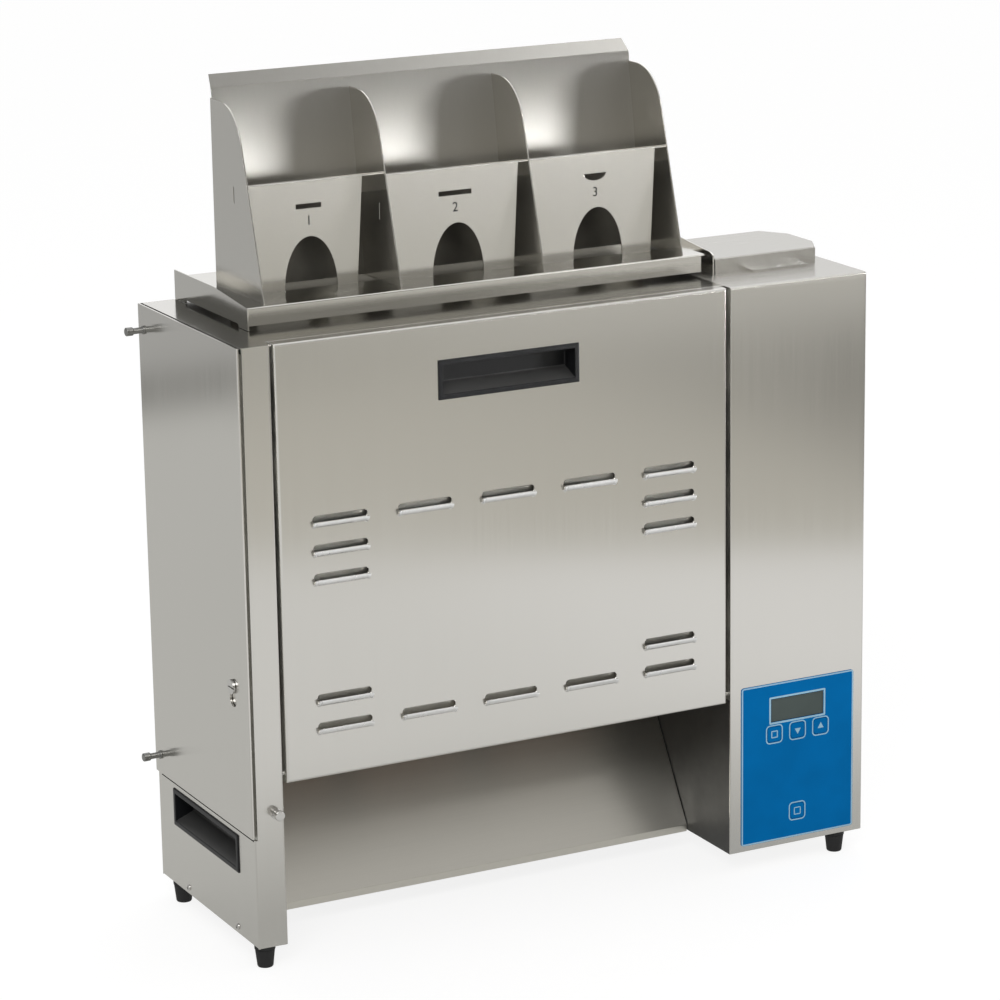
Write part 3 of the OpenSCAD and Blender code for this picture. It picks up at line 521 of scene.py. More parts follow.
# Near-black steel for the bay's inner wall: painted shade in the bay.
bay_wall_shade_steel = worked("painted_shade_bay_metal", (0.13, 0.13, 0.127), 0.5, (60, 60, 60), 0.01)
fastener_steel = worked("plated_fastener_steel", (0.68, 0.67, 0.65), 0.24, (500, 500, 500), 0.004)
pull_plastic = moulded(
    "black_pull_plastic", (0.008, 0.0085, 0.01), 0.4, 900, 0.02, Specular_IOR_Level=0.35
)
# A lighter grey for the upward faces in the pull's pocket.
pocket_plastic = moulded("grey_pocket_floor_plastic", (0.07, 0.07, 0.069), 0.36, 900, 0.02)
pin_metal = worked("dull_pin_metal", (0.3, 0.3, 0.29), 0.4, (300, 300, 300), 0.01)
catch_plastic = moulded("catch_plastic", (0.03, 0.03, 0.032), 0.5)
foot_rubber = moulded("foot_rubber", (0.014, 0.014, 0.015), 0.62, 500, 0.05)
roller_metal = worked("turned_roller_aluminium", (0.66, 0.66, 0.67), 0.3, (4, 600, 600), 0.01)
gear_brass = worked("cut_gear_brass", (0.62, 0.45, 0.2), 0.32, (400, 400, 400), 0.01)
belt_rubber = moulded("tan_belt_silicone", (0.2, 0.1, 0.055), 0.55, 350, 0.06)
motor_paint = moulded("grey_motor_paint", (0.12, 0.13, 0.14), 0.4, 260, 0.03)
platen_metal = worked("cast_platen_aluminium", (0.5, 0.5, 0.5), 0.5, (260, 260, 260), 0.06)
heater_metal = worked("heater_sheath", (0.25, 0.22, 0.19), 0.45, (150, 150, 150), 0.02)
release_cloth = woven("brown_release_cloth", (0.16, 0.09, 0.045))
board_fibre = moulded("pale_mineral_board", (0.72, 0.68, 0.58), 0.85, 300, 0.12)
overlay_blue = printed("blue_panel_film", (0.0005, 0.18, 0.52), 0.45, 0.03)
overlay_line = printed("light_blue_panel_ink", (0.42, 0.68, 0.86), 0.4)
key_blue = printed("blue_key_film", (0.0005, 0.18, 0.52), 0.42, 0.03)
window_grey = printed("grey_display_window", (0.095, 0.12, 0.115), 0.2)
board_green = printed("green_board_lacquer", (0.02, 0.16, 0.06), 0.35)
fan_plastic = moulded("black_fan_plastic", (0.02, 0.02, 0.023), 0.45)
coil_metal = worked("laminated_core", (0.3, 0.31, 0.32), 0.5, (2000, 20, 20), 0.03)
terminal_plastic = moulded("cream_terminal_plastic", (0.6, 0.56, 0.45), 0.45)
relay_plastic = moulded("dark_blue_relay_plastic", (0.02, 0.035, 0.09), 0.35)
lane_ink = printed("black_lane_ink", (0.025, 0.025, 0.025), 0.5)


# ---- Cabinet ----

left_frame = blank("left_frame", "left_frame_sheet")
split(left_frame, y=24)
fold(left_frame, 2.0, either(line(x=FRAME_FACE, y=0), line(x=POST_EDGE, y=0)))
fold(left_frame, 1.2, either(line(x=FRAME_FACE, z=0), line(y=0, z=0)), 3)
soften(left_frame, 0.3)
left_frame.data.materials.append(cabinet_steel)
dress(left_frame, flange_steel, lambda c, n: c.x > POST_EDGE - 0.1 and n.x > 0.9)
dress(left_frame, flange_steel, lambda c, n: c.x < 4.5 and c.z > 92 and 0.2 < c.y < 8)
finish(left_frame, "cabinet", "cabinet_steel", None, "left_frame")

side_cover = blank("side_cover", "side_cover_sheet")
fold(side_cover, 0.9, either(line(x=0, z=TALL), line(x=0, y=0.6)), 3)
soften(side_cover, 0.3)
finish(side_cover, "side_cover", "cabinet_steel", side_steel, "side_cover")

top_deck = blank("top_deck", "top_deck_sheet")
soften(top_deck, 0.3)
finish(top_deck, "cabinet", "cabinet_steel", deck_steel, "top_deck")

rear_panel = blank("rear_panel", "rear_panel_sheet")
fold(
    rear_panel,
    1.0,
    either(line(y=DEEP, z=TALL), line(y=DEEP, z=0), line(x=FRAME_FACE, y=DEEP)),
    3,
)
soften(rear_panel, 0.25)
finish(rear_panel, "cabinet", "cabinet_steel", cabinet_steel, "rear_panel")

housing = blank("housing_shell", "housing_shell_sheet")
split(housing, y=6, z=484)
split(housing, x=562)
fold(housing, 1.8, either(line(x=WIDE, y=0), line(y=0, z=TALL), line(x=WIDE, z=TALL)))
fold(housing, 1.0, either(line(x=HOUSING_LEFT, y=0), line(y=0, z=0)), 3)
soften(housing, 0.25)
housing.data.materials.append(cabinet_steel)
# The top faces get the darker copy: painted shade.
dress(housing, top_shade_steel, lambda c, n: n.z > 0.9 and c.z > TALL - 1)
finish(housing, "cabinet", "cabinet_steel", None, "housing_shell")

housing_back = blank("housing_back", "housing_back_sheet")
fold(housing_back, 1.0, either(line(y=DEEP, z=TALL), line(x=WIDE, y=DEEP)), 3)
soften(housing_back, 0.25)
finish(housing_back, "cabinet", "cabinet_steel", cabinet_steel, "housing_back")

housing_wall = blank("housing_wall", "housing_wall_sheet")
split(housing_wall, y=14, z=137)
shade(housing_wall)
# The wall is painted near-black as painted shade; its front strip keeps the plain flange steel.
housing_wall.data.materials.append(bay_wall_shade_steel)
dress(housing_wall, flange_steel, lambda c, n: c.y < 14 and c.z > 137 and n.x < -0.9)
finish(housing_wall, "cabinet", "inner_steel", None, "housing_wall")

inner_plate = blank("inner_plate", "inner_plate_sheet")
soften(inner_plate, 0.2, 1)
finish(inner_plate, "cabinet", "inner_steel", inner_steel, "inner_plate")

hood = blank("vent_hood", "vent_hood_sheet")
fold(hood, 1.6, line(z=503), 4)
soften(hood, 0.3)
# The hood gets the darker copy: painted shade.
hood.data.materials.append(top_shade_steel)
# The top of the hood's tongue gets the near-white steel, a painted highlight.
dress(hood, highlight_edge_steel, lambda c, n: c.y < 56.5 and c.z > 491 and n.z > 0.5)
finish(hood, "cabinet", "cabinet_steel", None, "vent_hood")


def louvre_lip():
    """The pushed-out lower half of a louvre, with round ends and a flare into the panel."""
    half, radius = 24.2, 2.7
    bpy.ops.object.select_all(action="DESELECT")
    bpy.ops.mesh.primitive_circle_add(
        vertices=48, radius=radius * MM, location=spot(-half, 0, 0), rotation=TURN["x"]
    )
    lip = settle(bpy.context.object)
    lip.name = "louvre_lip"
    edit(
        lip,
        bpy.ops.mesh.delete,
        "VERT",
        lambda p: p.y > 0.01 or p.z > 0.01,
        type="VERT",
    )
    grow(lip, (1, 1.15, 1.65), (0, 0, 0), "VERT", lambda p: True)
    foot = lambda p: p.y > -0.01
    move(lip, 0, -0.12, -0.15, "VERT", foot)
    extrude(lip, 0, 0.15, -0.3)
    extrude(lip, 0, 0.12, -0.3)
    edit_all(
        lip,
        bpy.ops.mesh.extrude_region_move,
        TRANSFORM_OT_translate={"value": (2 * half * MM, 0, 0)},
    )
    for side in (-1, 1):
        edit(
            lip,
            bpy.ops.mesh.spin,
            "VERT",
            lambda p: abs(p.x - side * half) < 0.01,
            steps=8,
            angle=-side * math.pi / 2,
            center=spot(side * half, 0, 0),
            axis=(0, 1, 0),
        )
    outward(lip)
    if sum(f.normal.y * f.area for f in lip.data.polygons) > 0:
        edit_all(lip, bpy.ops.mesh.flip_normals)
    modify(lip, "SOLIDIFY", thickness=0.9 * MM, offset=-1)
    return lip


def louvre_strip():
    """The strip behind a louvre that turns the draught down."""
    strip = block("louvre_strip", (-25, 3.2, -6), (25, 4, 6))
    move(strip, 0, 2.4, 0, "VERT", lambda p: p.z < 0)
    soften(strip, 0.2, 1)
    strip.data.materials.append(flange_steel)
    return strip


# Louvres stand in columns to both sides of the panel's middle, in a high and a low group.
LOUVRE_MIDDLE, LOUVRE_COLUMN, LOUVRE_ROW = 231.5, 74.2, 23.5
HIGH_ROW, LOW_ROW = 345.9, 176.6
LOUVRES = (
    [(c, HIGH_ROW) for c in range(-2, 3)]
    + [(c, HIGH_ROW - LOUVRE_ROW * k) for c in (-2, 2) for k in (1, 2)]
    + [(c, LOW_ROW) for c in range(-2, 3)]
    + [(c, LOW_ROW + LOUVRE_ROW) for c in (-2, 2)]
)


def at_louvres(piece, name, rise=0):
    """A copy of the piece at every louvre, in place of the piece itself."""
    copies = [
        copy_of(piece, name, (LOUVRE_MIDDLE + c * LOUVRE_COLUMN, 0, z + rise)) for c, z in LOUVRES
    ]
    bpy.data.objects.remove(piece)
    return copies


def slot_cutter(name, length, height, depth):
    """A bar with round ends that cuts one slot."""
    bar = round_bar(name, (0, 0, 0), "y", depth, height, 34)
    reach = (length - height) / 2
    move(bar, reach, 0, 0, "VERT", lambda p: p.x > 0)
    move(bar, -reach, 0, 0, "VERT", lambda p: p.x < 0)
    return bar


def make_front_panel():
    panel = block("front_panel_sheet", (PANEL_LEFT, 0, PANEL_FOOT), (PANEL_RIGHT, 12, TALL))
    edit(
        panel,
        bpy.ops.mesh.delete,
        "FACE",
        lambda c, n: n.y > 0.5,
        type="FACE",
    )
    fold(
        panel,
        2.2,
        either(
            line(x=PANEL_LEFT, y=0),
            line(x=PANEL_RIGHT, y=0),
            line(y=0, z=PANEL_FOOT),
            line(y=0, z=TALL),
        ),
    )
    modify(panel, "SOLIDIFY", thickness=1.5 * MM, offset=-1, use_even_offset=True)
    slots = at_louvres(slot_cutter("slot", 47.4, 6.2, 8), "slot", 0.5)
    opening = block("opening", (173.5, -1, 431.5), (294.5, 4, 458.5))
    cut(panel, opening, *slots)
    soften(panel, 0.2, 1)
    panel.data.materials.append(cabinet_steel)
    dress(panel, flange_steel, lambda c, n: abs(n.x) > 0.9)
    lip = louvre_lip()
    hold(lip)
    bpy.ops.object.shade_smooth_by_angle(angle=math.radians(45))
    # The lips get the near-white steel, a painted highlight.
    lip.data.materials.append(highlight_edge_steel)
    join(panel, at_louvres(louvre_strip(), "strip") + at_louvres(lip, "lip", -1.3))
    return panel


front_panel = make_front_panel()
finish(front_panel, "front_panel", "cabinet_steel", None, "front_panel")


def recessed_pull(name, width):
    """Bezel, pocket with a floor that slopes up, and the body behind, facing -Y at the corner."""
    w, h = width / 2, 16
    pull = block(name, (-w, -1.2, -h), (w, 0, h))
    front = lambda c, n: n.y < -0.9 and c.y < -1
    back = lambda c, n: n.y > 0.9 and c.y > -0.1 and abs(c.x) < 1 and abs(c.z) < 1
    inset(pull, 2.8, "FACE", back)
    extrude(pull, 0, 17.5, 0)
    inset(pull, 4, "FACE", front)
    extrude(pull, 0, 17.2, 0)
    move(pull, 0, 0, 7, "VERT", lambda p: abs(p.y - 16) < 0.1 and p.z < -8)
    fold(pull, 0.8, lambda a, b: a.y < -1.1 and b.y < -1.1 and max(abs(a.z), abs(b.z)) > 15.9, 3)
    fold(pull, 0.6, lambda a, b: a.y < -1.1 and b.y < -1.1 and max(abs(a.z), abs(b.z)) < 12.1, 3)
    fold(pull, 1.5, lambda a, b: abs(a.y - 16) < 0.1 and abs(b.y - 16) < 0.1, 3)
    soften(pull, 0.3)
    pull.data.materials.append(pull_plastic)
    dress(pull, pocket_plastic, lambda c, n: n.z > 0.3 and 0.5 < c.y < 15.9 and abs(c.z) < 12)
    return pull


front_pull = recessed_pull("front_pull_cup", 126)
front_pull.data.transform(Matrix.Translation(Vector((234, 0, 445)) * MM))
finish(front_pull, "front_panel", "pull_plastic", None, "front_pull")

side_pull = recessed_pull("side_pull_cup", 133)
turn = Matrix.Translation(spot(FRAME_FACE, 100.5, 70)) @ Matrix.Rotation(-math.pi / 2, 4, "Z")
side_pull.data.transform(turn @ Matrix.Translation(-CORNER))
finish(side_pull, "cabinet", "pull_plastic", None, "side_pull")


def make_foot():
    """A tapered rubber foot with a collar at its top and a recess for the screw."""
    foot = round_bar("foot", (0, 0, -1.5), "z", 3, 17, 48)
    low = lambda c, n: n.z < -0.9
    inset(foot, 0.45, "FACE", low)
    extrude(foot, 0, 0, -0.8)
    extrude(foot, 0, 0, -13.4)
    grow(foot, (0.81, 0.81, 1), (0, 0, 0))
    extrude(foot, 0, 0, -0.8)
    grow(foot, (0.93, 0.93, 1), (0, 0, 0))
    inset(foot, 2.1)
    extrude(foot, 0, 0, 7)
    fold(foot, 0.5, lambda a, b: a.z > -3.1 and b.z > -3.1 and abs(a.z - b.z) < 0.1, 2)
    soften(foot, 0.4)
    return foot


foot = make_foot()
feet = [copy_of(foot, "rubber_foot", (x, y, 0)) for x in (11, 548) for y in (9, 176)]
bpy.data.objects.remove(foot)
feet = join(feet[0], feet[1:])
feet.name = "rubber_feet"
finish(feet, "cabinet", "foot_rubber", foot_rubber, "feet")


def make_screw(diameter=8, height=2):
    """A domed screw head with a crossed recess, facing +Y at the corner."""
    head = round_bar("screw_head", (0, height / 2, 0), "y", height, diameter, 32)
    fold(head, height * 0.75, lambda a, b: a.y > height - 0.1 and b.y > height - 0.1, 4)
    arm, floor, top = diameter * 0.28, height * 0.45, height + 1
    for x, z in ((arm, 0.5), (0.5, arm)):
        cut(head, block("bar", (-x, floor, -z), (x, top, z)))
    soften(head, 0.12, 1)
    return head


screw = make_screw()
back_screws = [(x, z) for x in (14, 428, 450, 558) for z in (20, 245, 470)]
back_screws += [(x, z) for x in (130, 310) for z in (20, 470)]
heads = [copy_of(screw, "head", (x, DEEP, z)) for x, z in back_screws]
small = make_screw(5, 1.4)
for y in (41, 142):
    side_head = copy_of(small, "head")
    side_head.data.transform(
        Matrix.Translation(spot(FRAME_FACE, y, 6))
        @ Matrix.Rotation(math.pi / 2, 4, "Z")
        @ Matrix.Translation(-CORNER)
    )
    heads.append(side_head)
hood_head = make_screw(5, 0.8)
hood_head.data.transform(
    Matrix.Translation(spot(514, 50, 492))
    @ Matrix.Rotation(math.pi / 2, 4, "X")
    @ Matrix.Translation(-CORNER)
)
heads.append(hood_head)
for spare in (screw, small):
    bpy.data.objects.remove(spare)
screws = join(heads[0], heads[1:])
screws.name = "cabinet_screw_heads"
finish(screws, "cabinet", "fastener_steel", fastener_steel, "cabinet_screws")


def make_cover_pin(y, z):
    """A turned spacer: collar at the cover, neck, and a head with a rounded rim."""
    pin = round_bar("cover_pin", (-0.75, y, z), "x", 1.5, 7, 36)
    tip = lambda c, n: n.x < -0.9
    inset(pin, 1.0, "FACE", tip)
    extrude(pin, -8.0, 0, 0)
    extrude(pin, -0.5, 0, 0)
    grow(pin, (1, 1.4, 1.4), (0, y, z))
    extrude(pin, -5.5, 0, 0)
    extrude(pin, -0.5, 0, 0)
    grow(pin, (1, 0.8, 0.8), (0, y, z))
    soften(pin, 0.3)
    return pin


pins = join(make_cover_pin(188, 470), [make_cover_pin(188, 109)])
pins.name = "cover_spacer_pins"
finish(pins, "side_cover", "pin_plastic", pin_metal, "cover_pins")


def make_shoulder_screw():
    """Slotted head on a shoulder, on the left side."""
    head = round_bar("shoulder_screw", (-1.4, 30, 212), "x", 2, 12, 48)
    fold(head, 0.5, lambda a, b: a.x < -2.3 and b.x < -2.3, 3)
    inset(head, 3, "FACE", lambda c, n: n.x > 0.9)
    extrude(head, 3.5, 0, 0)
    cut(head, block("slot", (-3, 20, 211.3), (-1.4, 40, 212.7)))
    soften(head, 0.15, 1)
    return head


cover_screw = make_shoulder_screw()
finish(cover_screw, "cabinet", "fastener_steel", fastener_steel, "cover_screw")


def make_stud():
    """Stud on the post: flange, waist and a knob with a rounded rim."""
    stud = round_bar("post_stud_turned", (20.4, -0.75, 112), "y", 1.5, 9, 40)
    tip = lambda c, n: n.y < -0.9
    inset(stud, 1.5, "FACE", tip)
    extrude(stud, 0, -4, 0)
    extrude(stud, 0, -0.5, 0)
    grow(stud, (1.42, 1, 1.42), (20.4, 0, 112))
    extrude(stud, 0, -2.5, 0)
    extrude(stud, 0, -0.5, 0)
    grow(stud, (0.85, 1, 0.85), (20.4, 0, 112))
    soften(stud, 0.3)
    return stud


finish(make_stud(), "cabinet", "fastener_steel", fastener_steel, "post_stud")


# ---- Ramp ----

ramp = blank("ramp", "ramp_sheet")
soften(ramp, 0.4, 3, 20)
finish(ramp, "ramp", "ramp_steel", ramp_steel, "ramp")


# ---- Feeder ----

tray = blank("feeder_tray", "feeder_tray_sheet")
fold(tray, 1.6, line(y=53, z=508.6), 4)
soften(tray, 0.25)
tray.data.materials.append(tray_steel)
# The tray's underside is painted near-black: painted shade under the tray.
dress(tray, chute_shade_steel, lambda c, n: n.z < -0.5)
finish(tray, "feeder", "feeder_steel", None, "feeder_tray")

dividers = blank("dividers", "divider_sheets")
soften(dividers, 0.3, 2, 50)
finish(dividers, "feeder", "feeder_steel", divider_steel, "dividers")

lanes = blank("lane_plates", "lane_plate_sheets")
fold(lanes, 1.0, either(line(y=88, z=595.6), line(y=98, z=595.6)), 4)
soften(lanes, 0.25)
finish(lanes, "feeder", "feeder_steel", feeder_steel, "lane_plates")


# The back plate is hollow from this height up, over this span.
HOLLOW_FOOT, HOLLOW_SPAN = 605, 62
# Below this height the front of the back plate is painted dark, as painted shade in the chute.
CHUTE_TOP = 574


def hollow(z):
    """How far the back plate is moved back at a height. Below zero it comes forward."""
    up = (z - HOLLOW_FOOT) / HOLLOW_SPAN
    return -1.32 - 0.85 * up + 2.17 * up * up


def make_back_plate():
    """The leaning plate, a little hollow below its fold, with the rim above tipped back."""
    plate = blank("back_plate", "back_plate_sheet")
    heights = [HOLLOW_FOOT + 4 * k for k in range(16)]
    for z in heights:
        split(plate, z=z)
    for z in heights:
        move(plate, 0, hollow(z), 0, "VERT", lambda p: abs(p.z - z) < 0.3)
    move(plate, 0, 1.5, 0, "VERT", lambda p: p.z > 676)
    split(plate, z=CHUTE_TOP)
    shade(plate, 6)
    plate.data.materials.append(back_plate_steel)
    # The front below the chute top is painted near-black: painted shade.
    dress(plate, chute_shade_steel, lambda c, n: c.z < CHUTE_TOP and n.y < 0)
    return plate


finish(make_back_plate(), "feeder", "feeder_steel", None, "back_plate")


def lane_number(digit, x, y):
    """A plain printed number below the sight slot."""
    bpy.ops.object.select_all(action="DESELECT")
    bpy.ops.object.text_add(
        location=spot(x, y - 0.02, 559.8), rotation=(math.pi / 2, 0, 0)
    )
    number = bpy.context.object
    number.name = f"lane_number_{digit}"
    number.data.body = digit
    number.data.size = 11 * MM
    number.data.align_x = "CENTER"
    number.data.extrude = 0.05 * MM
    hold(number)
    bpy.ops.object.convert(target="MESH")
    settle(number)
    outward(number)
    return number


for digit, x, y in (("1", 108, 98), ("2", 233, 88), ("3", 361.6, 88)):
    finish(lane_number(digit, x, y), "feeder", "feeder_steel", lane_ink)


# ---- Controls ----


def square(x, z, half):
    """The edges of a square round a place on the front: left, foot, right and top."""
    return x - half, z - half, x + half, z + half


def rounded_plate(name, x0, z0, x1, z1, radius, y0, y1):
    """A block with round corners, from y0 to y1."""
    plate = block(name, (x0, y0, z0), (x1, y1, z1))
    fold(plate, radius, lambda a, b: abs(a.y - b.y) > 0.01, 6)
    return plate


def ring(name, x0, z0, x1, z1, radius, width, y0, y1):
    """A thin printed outline with round corners."""
    outer = rounded_plate(name, x0, z0, x1, z1, radius, y0, y1)
    inner = rounded_plate(
        "inner",
        x0 + width,
        z0 + width,
        x1 - width,
        z1 - width,
        max(0.1, radius - width),
        y0 - 1,
        y1 + 1,
    )
    cut(outer, inner)
    return outer


# Half widths of a key's cap, its hole in the film and the printed line round it.
KEY_CAP, KEY_HOLE, KEY_LINE = 6.5, 6.85, 8.3
KEYS = {
    "key_menu": (481.3, 100.7),
    "key_down": (504.3, 100.7),
    "key_up": (527.2, 100.7),
    "key_power": (504.3, 28.5),
}


def make_overlay():
    film = rounded_plate("control_panel_film", 449, 5.4, 560, 145.8, 2.5, -0.7, -0.02)
    holes = [block("hole", (478, -2, 111.5), (530, 2, 132))]
    for x, z in KEYS.values():
        holes.append(rounded_plate("hole", *square(x, z, KEY_HOLE), 3, -2, 2))
    cut(film, *holes)
    soften(film, 0.15, 1)
    film.data.materials.append(overlay_blue)
    lines = [
        ring("border", 449.2, 5.6, 559.8, 145.6, 2.3, 1.2, -0.74, -0.6),
        ring("window_frame", 476.2, 109.7, 531.8, 133.8, 1.2, 1.6, -0.78, -0.6),
    ]
    for x, z in KEYS.values():
        lines.append(ring("key_outline", *square(x, z, KEY_LINE), 3.8, 1.0, -0.78, -0.6))
    for mark in lines:
        mark.data.materials.append(overlay_line)
    return join(film, lines)


overlay = make_overlay()
finish(overlay, "cabinet", "overlay_blue", None, "control_overlay")


def icon(kind, x, z):
    """Raised printed sign on a key: a square outline, or a triangle on the up and down keys."""
    y0, y1 = -1.06, -0.9
    if kind == "key_menu":
        return ring("icon", *square(x, z, 3.2), 0.6, 0.9, y0, y1)
    if kind == "key_power":
        return ring("icon", *square(x, z, 3.4), 1.0, 0.8, y0, y1)
    bpy.ops.object.select_all(action="DESELECT")
    bpy.ops.mesh.primitive_cylinder_add(
        vertices=3,
        radius=3.4 * MM,
        depth=(y1 - y0) * MM,
        location=spot(x, (y0 + y1) / 2, z),
        rotation=(math.pi / 2, 0 if kind == "key_up" else math.pi, 0),
    )
    return settle(bpy.context.object)


for name, (x, z) in KEYS.items():
    cap = rounded_plate(name + "_cap", *square(x, z, KEY_CAP), 2.6, -1.0, 2.8)
    fold(cap, 0.35, lambda a, b: a.y < -0.99 and b.y < -0.99, 3)
    shade(cap)
    cap.data.materials.append(key_blue)
    sign = icon(name, x, z)
    sign.data.materials.append(overlay_line)
    join(cap, [sign])
    finish(cap, name, "overlay_blue", None, name)

window = block("display_glass", (478.4, -0.45, 111.9), (529.6, 7.4, 131.6))
inset(window, 1.2, "FACE", lambda c, n: n.y < -0.9)
extrude(window, 0, 0.3, 0)
soften(window, 0.15, 2)
finish(window, "cabinet", "display_window", window_grey, "display")


# ---- Fittings at the back ----

guard = blank("fan_guard", "fan_guard_wire")
soften(guard, 0.6, 3, 50)
finish(guard, "cabinet", "fastener_steel", fastener_steel, "fan_guard")

inlet = blank("power_inlet", "power_inlet_moulding")
soften(inlet, 0.4)
finish(inlet, "cabinet", "pull_plastic", pull_plastic, "power_inlet")


# ---- Parts that keep the shape of their node ----

KEPT = {
    "panel_pins": fastener_steel,
    "panel_catches": catch_plastic,
    "base_channel": inner_steel,
    "housing_floor": inner_steel,
    "foot_screws": fastener_steel,
    "ramp_ledges": inner_steel,
    "drive_shaft": fastener_steel,
    "drive_rollers": roller_metal,
    "drive_gear": gear_brass,
    "idler_shaft": fastener_steel,
    "idler_rollers": roller_metal,
    "belts": belt_rubber,
    "belt_support": inner_steel,
    "shaft_bushes": gear_brass,
    "motor_pinion": fastener_steel,
    "gearmotor": motor_paint,
    "motor_bracket": inner_steel,
    "platen": platen_metal,
    "heating_rods": heater_metal,
    "thermocouple": fastener_steel,
    "release_sheet": release_cloth,
    "insulation": board_fibre,
    "heat_shield": inner_steel,
    "plate_posts": fastener_steel,
    "control_board": board_green,
    "fan_frame": fan_plastic,
    "fan_rotor": fan_plastic,
    "transformer": coil_metal,
    "terminal_block": terminal_plastic,
    "relays": relay_plastic,
}
for node, material in KEPT.items():
    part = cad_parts[node]
    part.data.materials.clear()
    part.data.materials.append(material)


# ---- Studio ----


# The floor that the steel mirrors: places along Y in metres, and the tone at each.
FLOOR_START, FLOOR_END = -2, 2
FLOOR_TONES = (
    (-1.98, (0.98, 0.98, 0.98)),
    (-0.55, (0.97, 0.97, 0.97)),
    (-0.2, (0.66, 0.66, 0.65)),
    (0.2, (0.74, 0.74, 0.73)),
    (1.66, (0.77, 0.77, 0.76)),
    (1.8, (0.34, 0.34, 0.33)),
    (1.9, (0.36, 0.36, 0.35)),
    (1.99, (0.62, 0.62, 0.62)),
)


def add_range(tree, value, start, end, smooth=False):
    """Runs from 0 to 1 while the value runs from start to end."""
    fade = tree.nodes.new("ShaderNodeMapRange")
    if smooth:
        fade.interpolation_type = "SMOOTHSTEP"
    fade.inputs["From Min"].default_value = start
    fade.inputs["From Max"].default_value = end
    tree.links.new(value, fade.inputs["Value"])
    return fade.outputs["Result"]


def add_mix(tree, factor, a, b, how="MIX"):
    """Mixes two colours, each of them a fixed one or a socket."""
    mix = tree.nodes.new("ShaderNodeMix")
    mix.data_type = "RGBA"
    mix.blend_type = how
    tree.links.new(factor, mix.inputs[0])
    for socket, colour in ((MIX_A, a), (MIX_B, b)):
        if isinstance(colour, tuple):
            mix.inputs[socket].default_value = (*colour, 1)
        else:
            tree.links.new(colour, mix.inputs[socket])
    return mix.outputs[MIX_OUT]


def add_product(tree, a, b):
    times = tree.nodes.new("ShaderNodeMath")
    times.operation = "MULTIPLY"
    tree.links.new(a, times.inputs[0])
    tree.links.new(b, times.inputs[1])
    return times.outputs[0]


def add_shader(tree, kind, colour, strength=None):
    """A plain shader of one colour, fixed or from a socket."""
    shader = tree.nodes.new(kind)
    if isinstance(colour, tuple):
        shader.inputs["Color"].default_value = (*colour, 1)
    else:
        tree.links.new(colour, shader.inputs["Color"])
    if strength:
        shader.inputs["Strength"].default_value = strength
    return shader.outputs[0]


def add_shader_mix(tree, factor, a, b):
    mix = tree.nodes.new("ShaderNodeMixShader")
    if isinstance(factor, float):
        mix.inputs[0].default_value = factor
    else:
        tree.links.new(factor, mix.inputs[0])
    tree.links.new(a, mix.inputs[1])
    tree.links.new(b, mix.inputs[2])
    return mix.outputs[0]


def empty_tree(owner, coordinates):
    """Clears the owner's nodes. Gives its tree and the X, Y and Z of the coordinates."""
    owner.use_nodes = True
    tree = owner.node_tree
    tree.nodes.clear()
    place = tree.nodes.new("ShaderNodeTexCoord")
    axes = tree.nodes.new("ShaderNodeSeparateXYZ")
    tree.links.new(place.outputs[coordinates], axes.inputs[0])
    return tree, axes.outputs


def show(tree, kind, mirrored, seen):
    """The output: one shader for the camera's own rays and another for all the others."""
    rays = tree.nodes.new("ShaderNodeLightPath")
    out = tree.nodes.new(kind)
    both = add_shader_mix(tree, rays.outputs["Is Camera Ray"], mirrored, seen)
    tree.links.new(both, out.inputs["Surface"])


